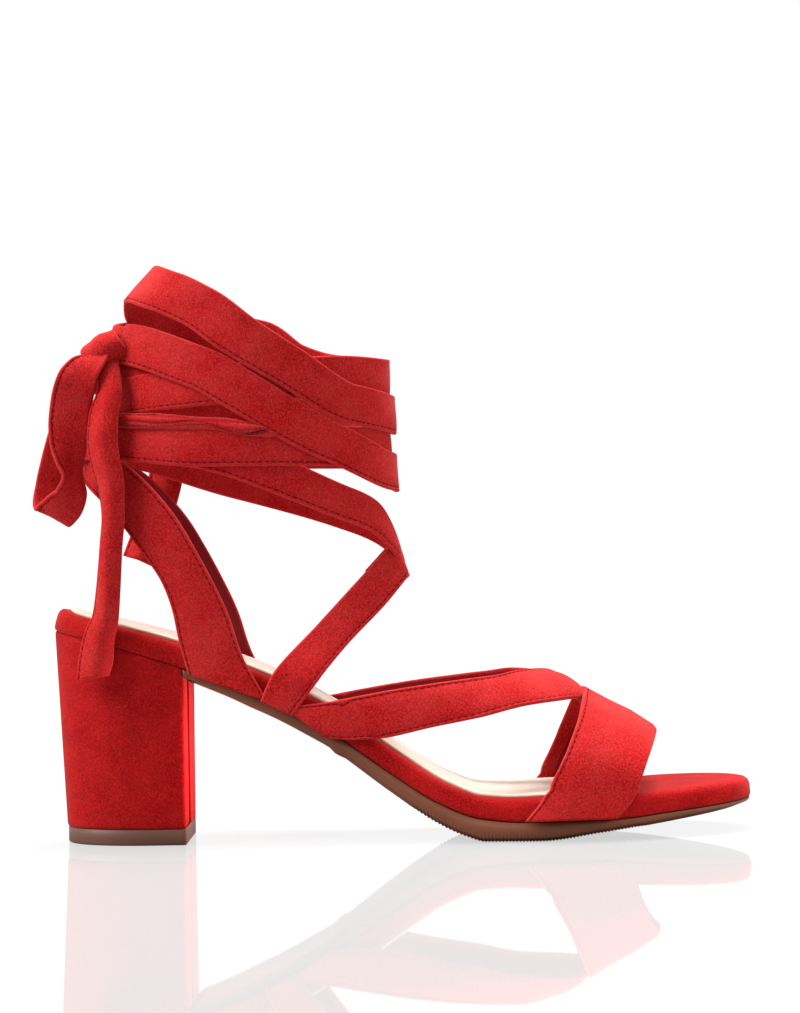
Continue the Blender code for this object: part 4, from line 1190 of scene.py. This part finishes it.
def make_camera():
    data = bpy.data.cameras.new("camera")
    data.sensor_width = SENSOR
    data.lens = SENSOR * FOCAL_PIXELS / max(PHOTO_WIDE, PHOTO_TALL)
    camera = add_object("camera", data)
    tilt = Matrix.Rotation(math.radians(90 + CAMERA_PITCH), 4, "X")
    roll = Matrix.Rotation(math.radians(CAMERA_ROLL), 4, "Z")
    camera.matrix_world = Matrix.Translation(CAMERA_AT) @ tilt @ roll
    bpy.context.scene.camera = camera


FLOOR_HALF = 6.0
SUNS = (  # name, azimuth the light comes from, elevation, strength, angle
    ("back", 198.0, 40.0, 4.0, 40.0),
    ("side", 270.0, 40.0, 0.35, 50.0),
    ("toe", 0.0, 35.0, 0.75, 50.0),
    ("top", 60.0, 75.0, 4.6, 30.0),
)
# Small soft lamps: one under the arch for the heel's breast, one in front for the toe
LAMPS = (  # name, place, aim, watts, size, spread
    ("arch", (-0.015, -0.030, 0.013), (-0.0717, -0.006, 0.030), 0.035, 0.012, 70.0),
    ("front", (0.24, -0.10, 0.10), (0.10, -0.01, 0.015), 0.19, 0.08, 180.0),
)
AMBIENT, BACKDROP = 0.1, 1.0
FLOOR_PALE, FLOOR_GLOW, FLOOR_GLOSS, GLOSS_ROUGH = 0.1, 0.93, 0.34, 0.02


def make_stage():
    bm = bmesh.new()
    bmesh.ops.create_grid(bm, x_segments=4, y_segments=4, size=FLOOR_HALF)
    mesh = bpy.data.meshes.new("floor")
    bm.to_mesh(mesh)
    bm.free()
    add_object("floor", mesh)
    material = bpy.data.materials.new("pale_floor")
    material.use_nodes = True
    tree = material.node_tree
    tree.nodes.clear()
    pale = (FLOOR_PALE, FLOOR_PALE, FLOOR_PALE, 1.0)
    matte = add_node(tree, "ShaderNodeBsdfDiffuse", "BSDF", {"Color": pale})
    seen = add_node(tree, "ShaderNodeLightPath", "Is Camera Ray", {})
    strength = math_node(tree, "MULTIPLY", seen, FLOOR_GLOW)
    glow = add_node(tree, "ShaderNodeEmission", "Emission", {"Strength": strength})
    lit = add_node(tree, "ShaderNodeAddShader", "Shader", {0: matte, 1: glow})
    gloss = add_node(tree, "ShaderNodeBsdfGlossy", "BSDF", {"Roughness": GLOSS_ROUGH})
    mix = add_node(tree, "ShaderNodeMixShader", "Shader", {0: FLOOR_GLOSS, 1: lit, 2: gloss})
    sink = tree.nodes.new("ShaderNodeOutputMaterial")
    tree.links.new(mix, sink.inputs["Surface"])
    mesh.materials.append(material)


def add_light(name, kind, energy, source):
    """A light that shines from the direction of source."""
    data = bpy.data.lights.new(name, kind)
    data.energy = energy
    light = add_object(name, data)
    light.rotation_euler = source.to_track_quat("Z", "Y").to_euler()
    return light


def make_light():
    for name, azimuth, elevation, strength, angle in SUNS:
        a, e = math.radians(azimuth), math.radians(elevation)
        source = Vector((math.cos(a) * math.cos(e), math.sin(a) * math.cos(e), math.sin(e)))
        sun = add_light(name, "SUN", strength, source)
        sun.data.angle = math.radians(angle)
    for name, place, aim, watts, size, spread in LAMPS:
        lamp = add_light(name, "AREA", watts, Vector(place) - Vector(aim))
        lamp.location = place
        lamp.data.size = size
        lamp.data.spread = math.radians(spread)
        lamp.visible_camera = False
        lamp.visible_glossy = False
    world = bpy.data.worlds.new("studio")
    bpy.context.scene.world = world
    world.use_nodes = True
    tree = world.node_tree
    sky = tree.nodes["Background"]
    sky.inputs["Color"].default_value = (1.0, 1.0, 1.0, 1.0)
    path = tree.nodes.new("ShaderNodeLightPath").outputs
    bright = math_node(tree, "MAXIMUM", path["Is Camera Ray"], path["Is Glossy Ray"])
    values = {"Value": bright, "To Min": AMBIENT, "To Max": BACKDROP}
    strength = add_node(tree, "ShaderNodeMapRange", "Result", values)
    tree.links.new(strength, sky.inputs["Strength"])
    bpy.context.scene.view_settings.view_transform = "Standard"


make_camera()
make_bow()
make_ankle_tie()
make_low_turn()
make_heel_strap()
for medial_side in (False, True):
    make_instep_strap(medial_side)
    make_loop_strap(medial_side)
make_toe_band()
make_platform()
make_sock()
make_outsole()
make_heel()
make_stage()
make_light()
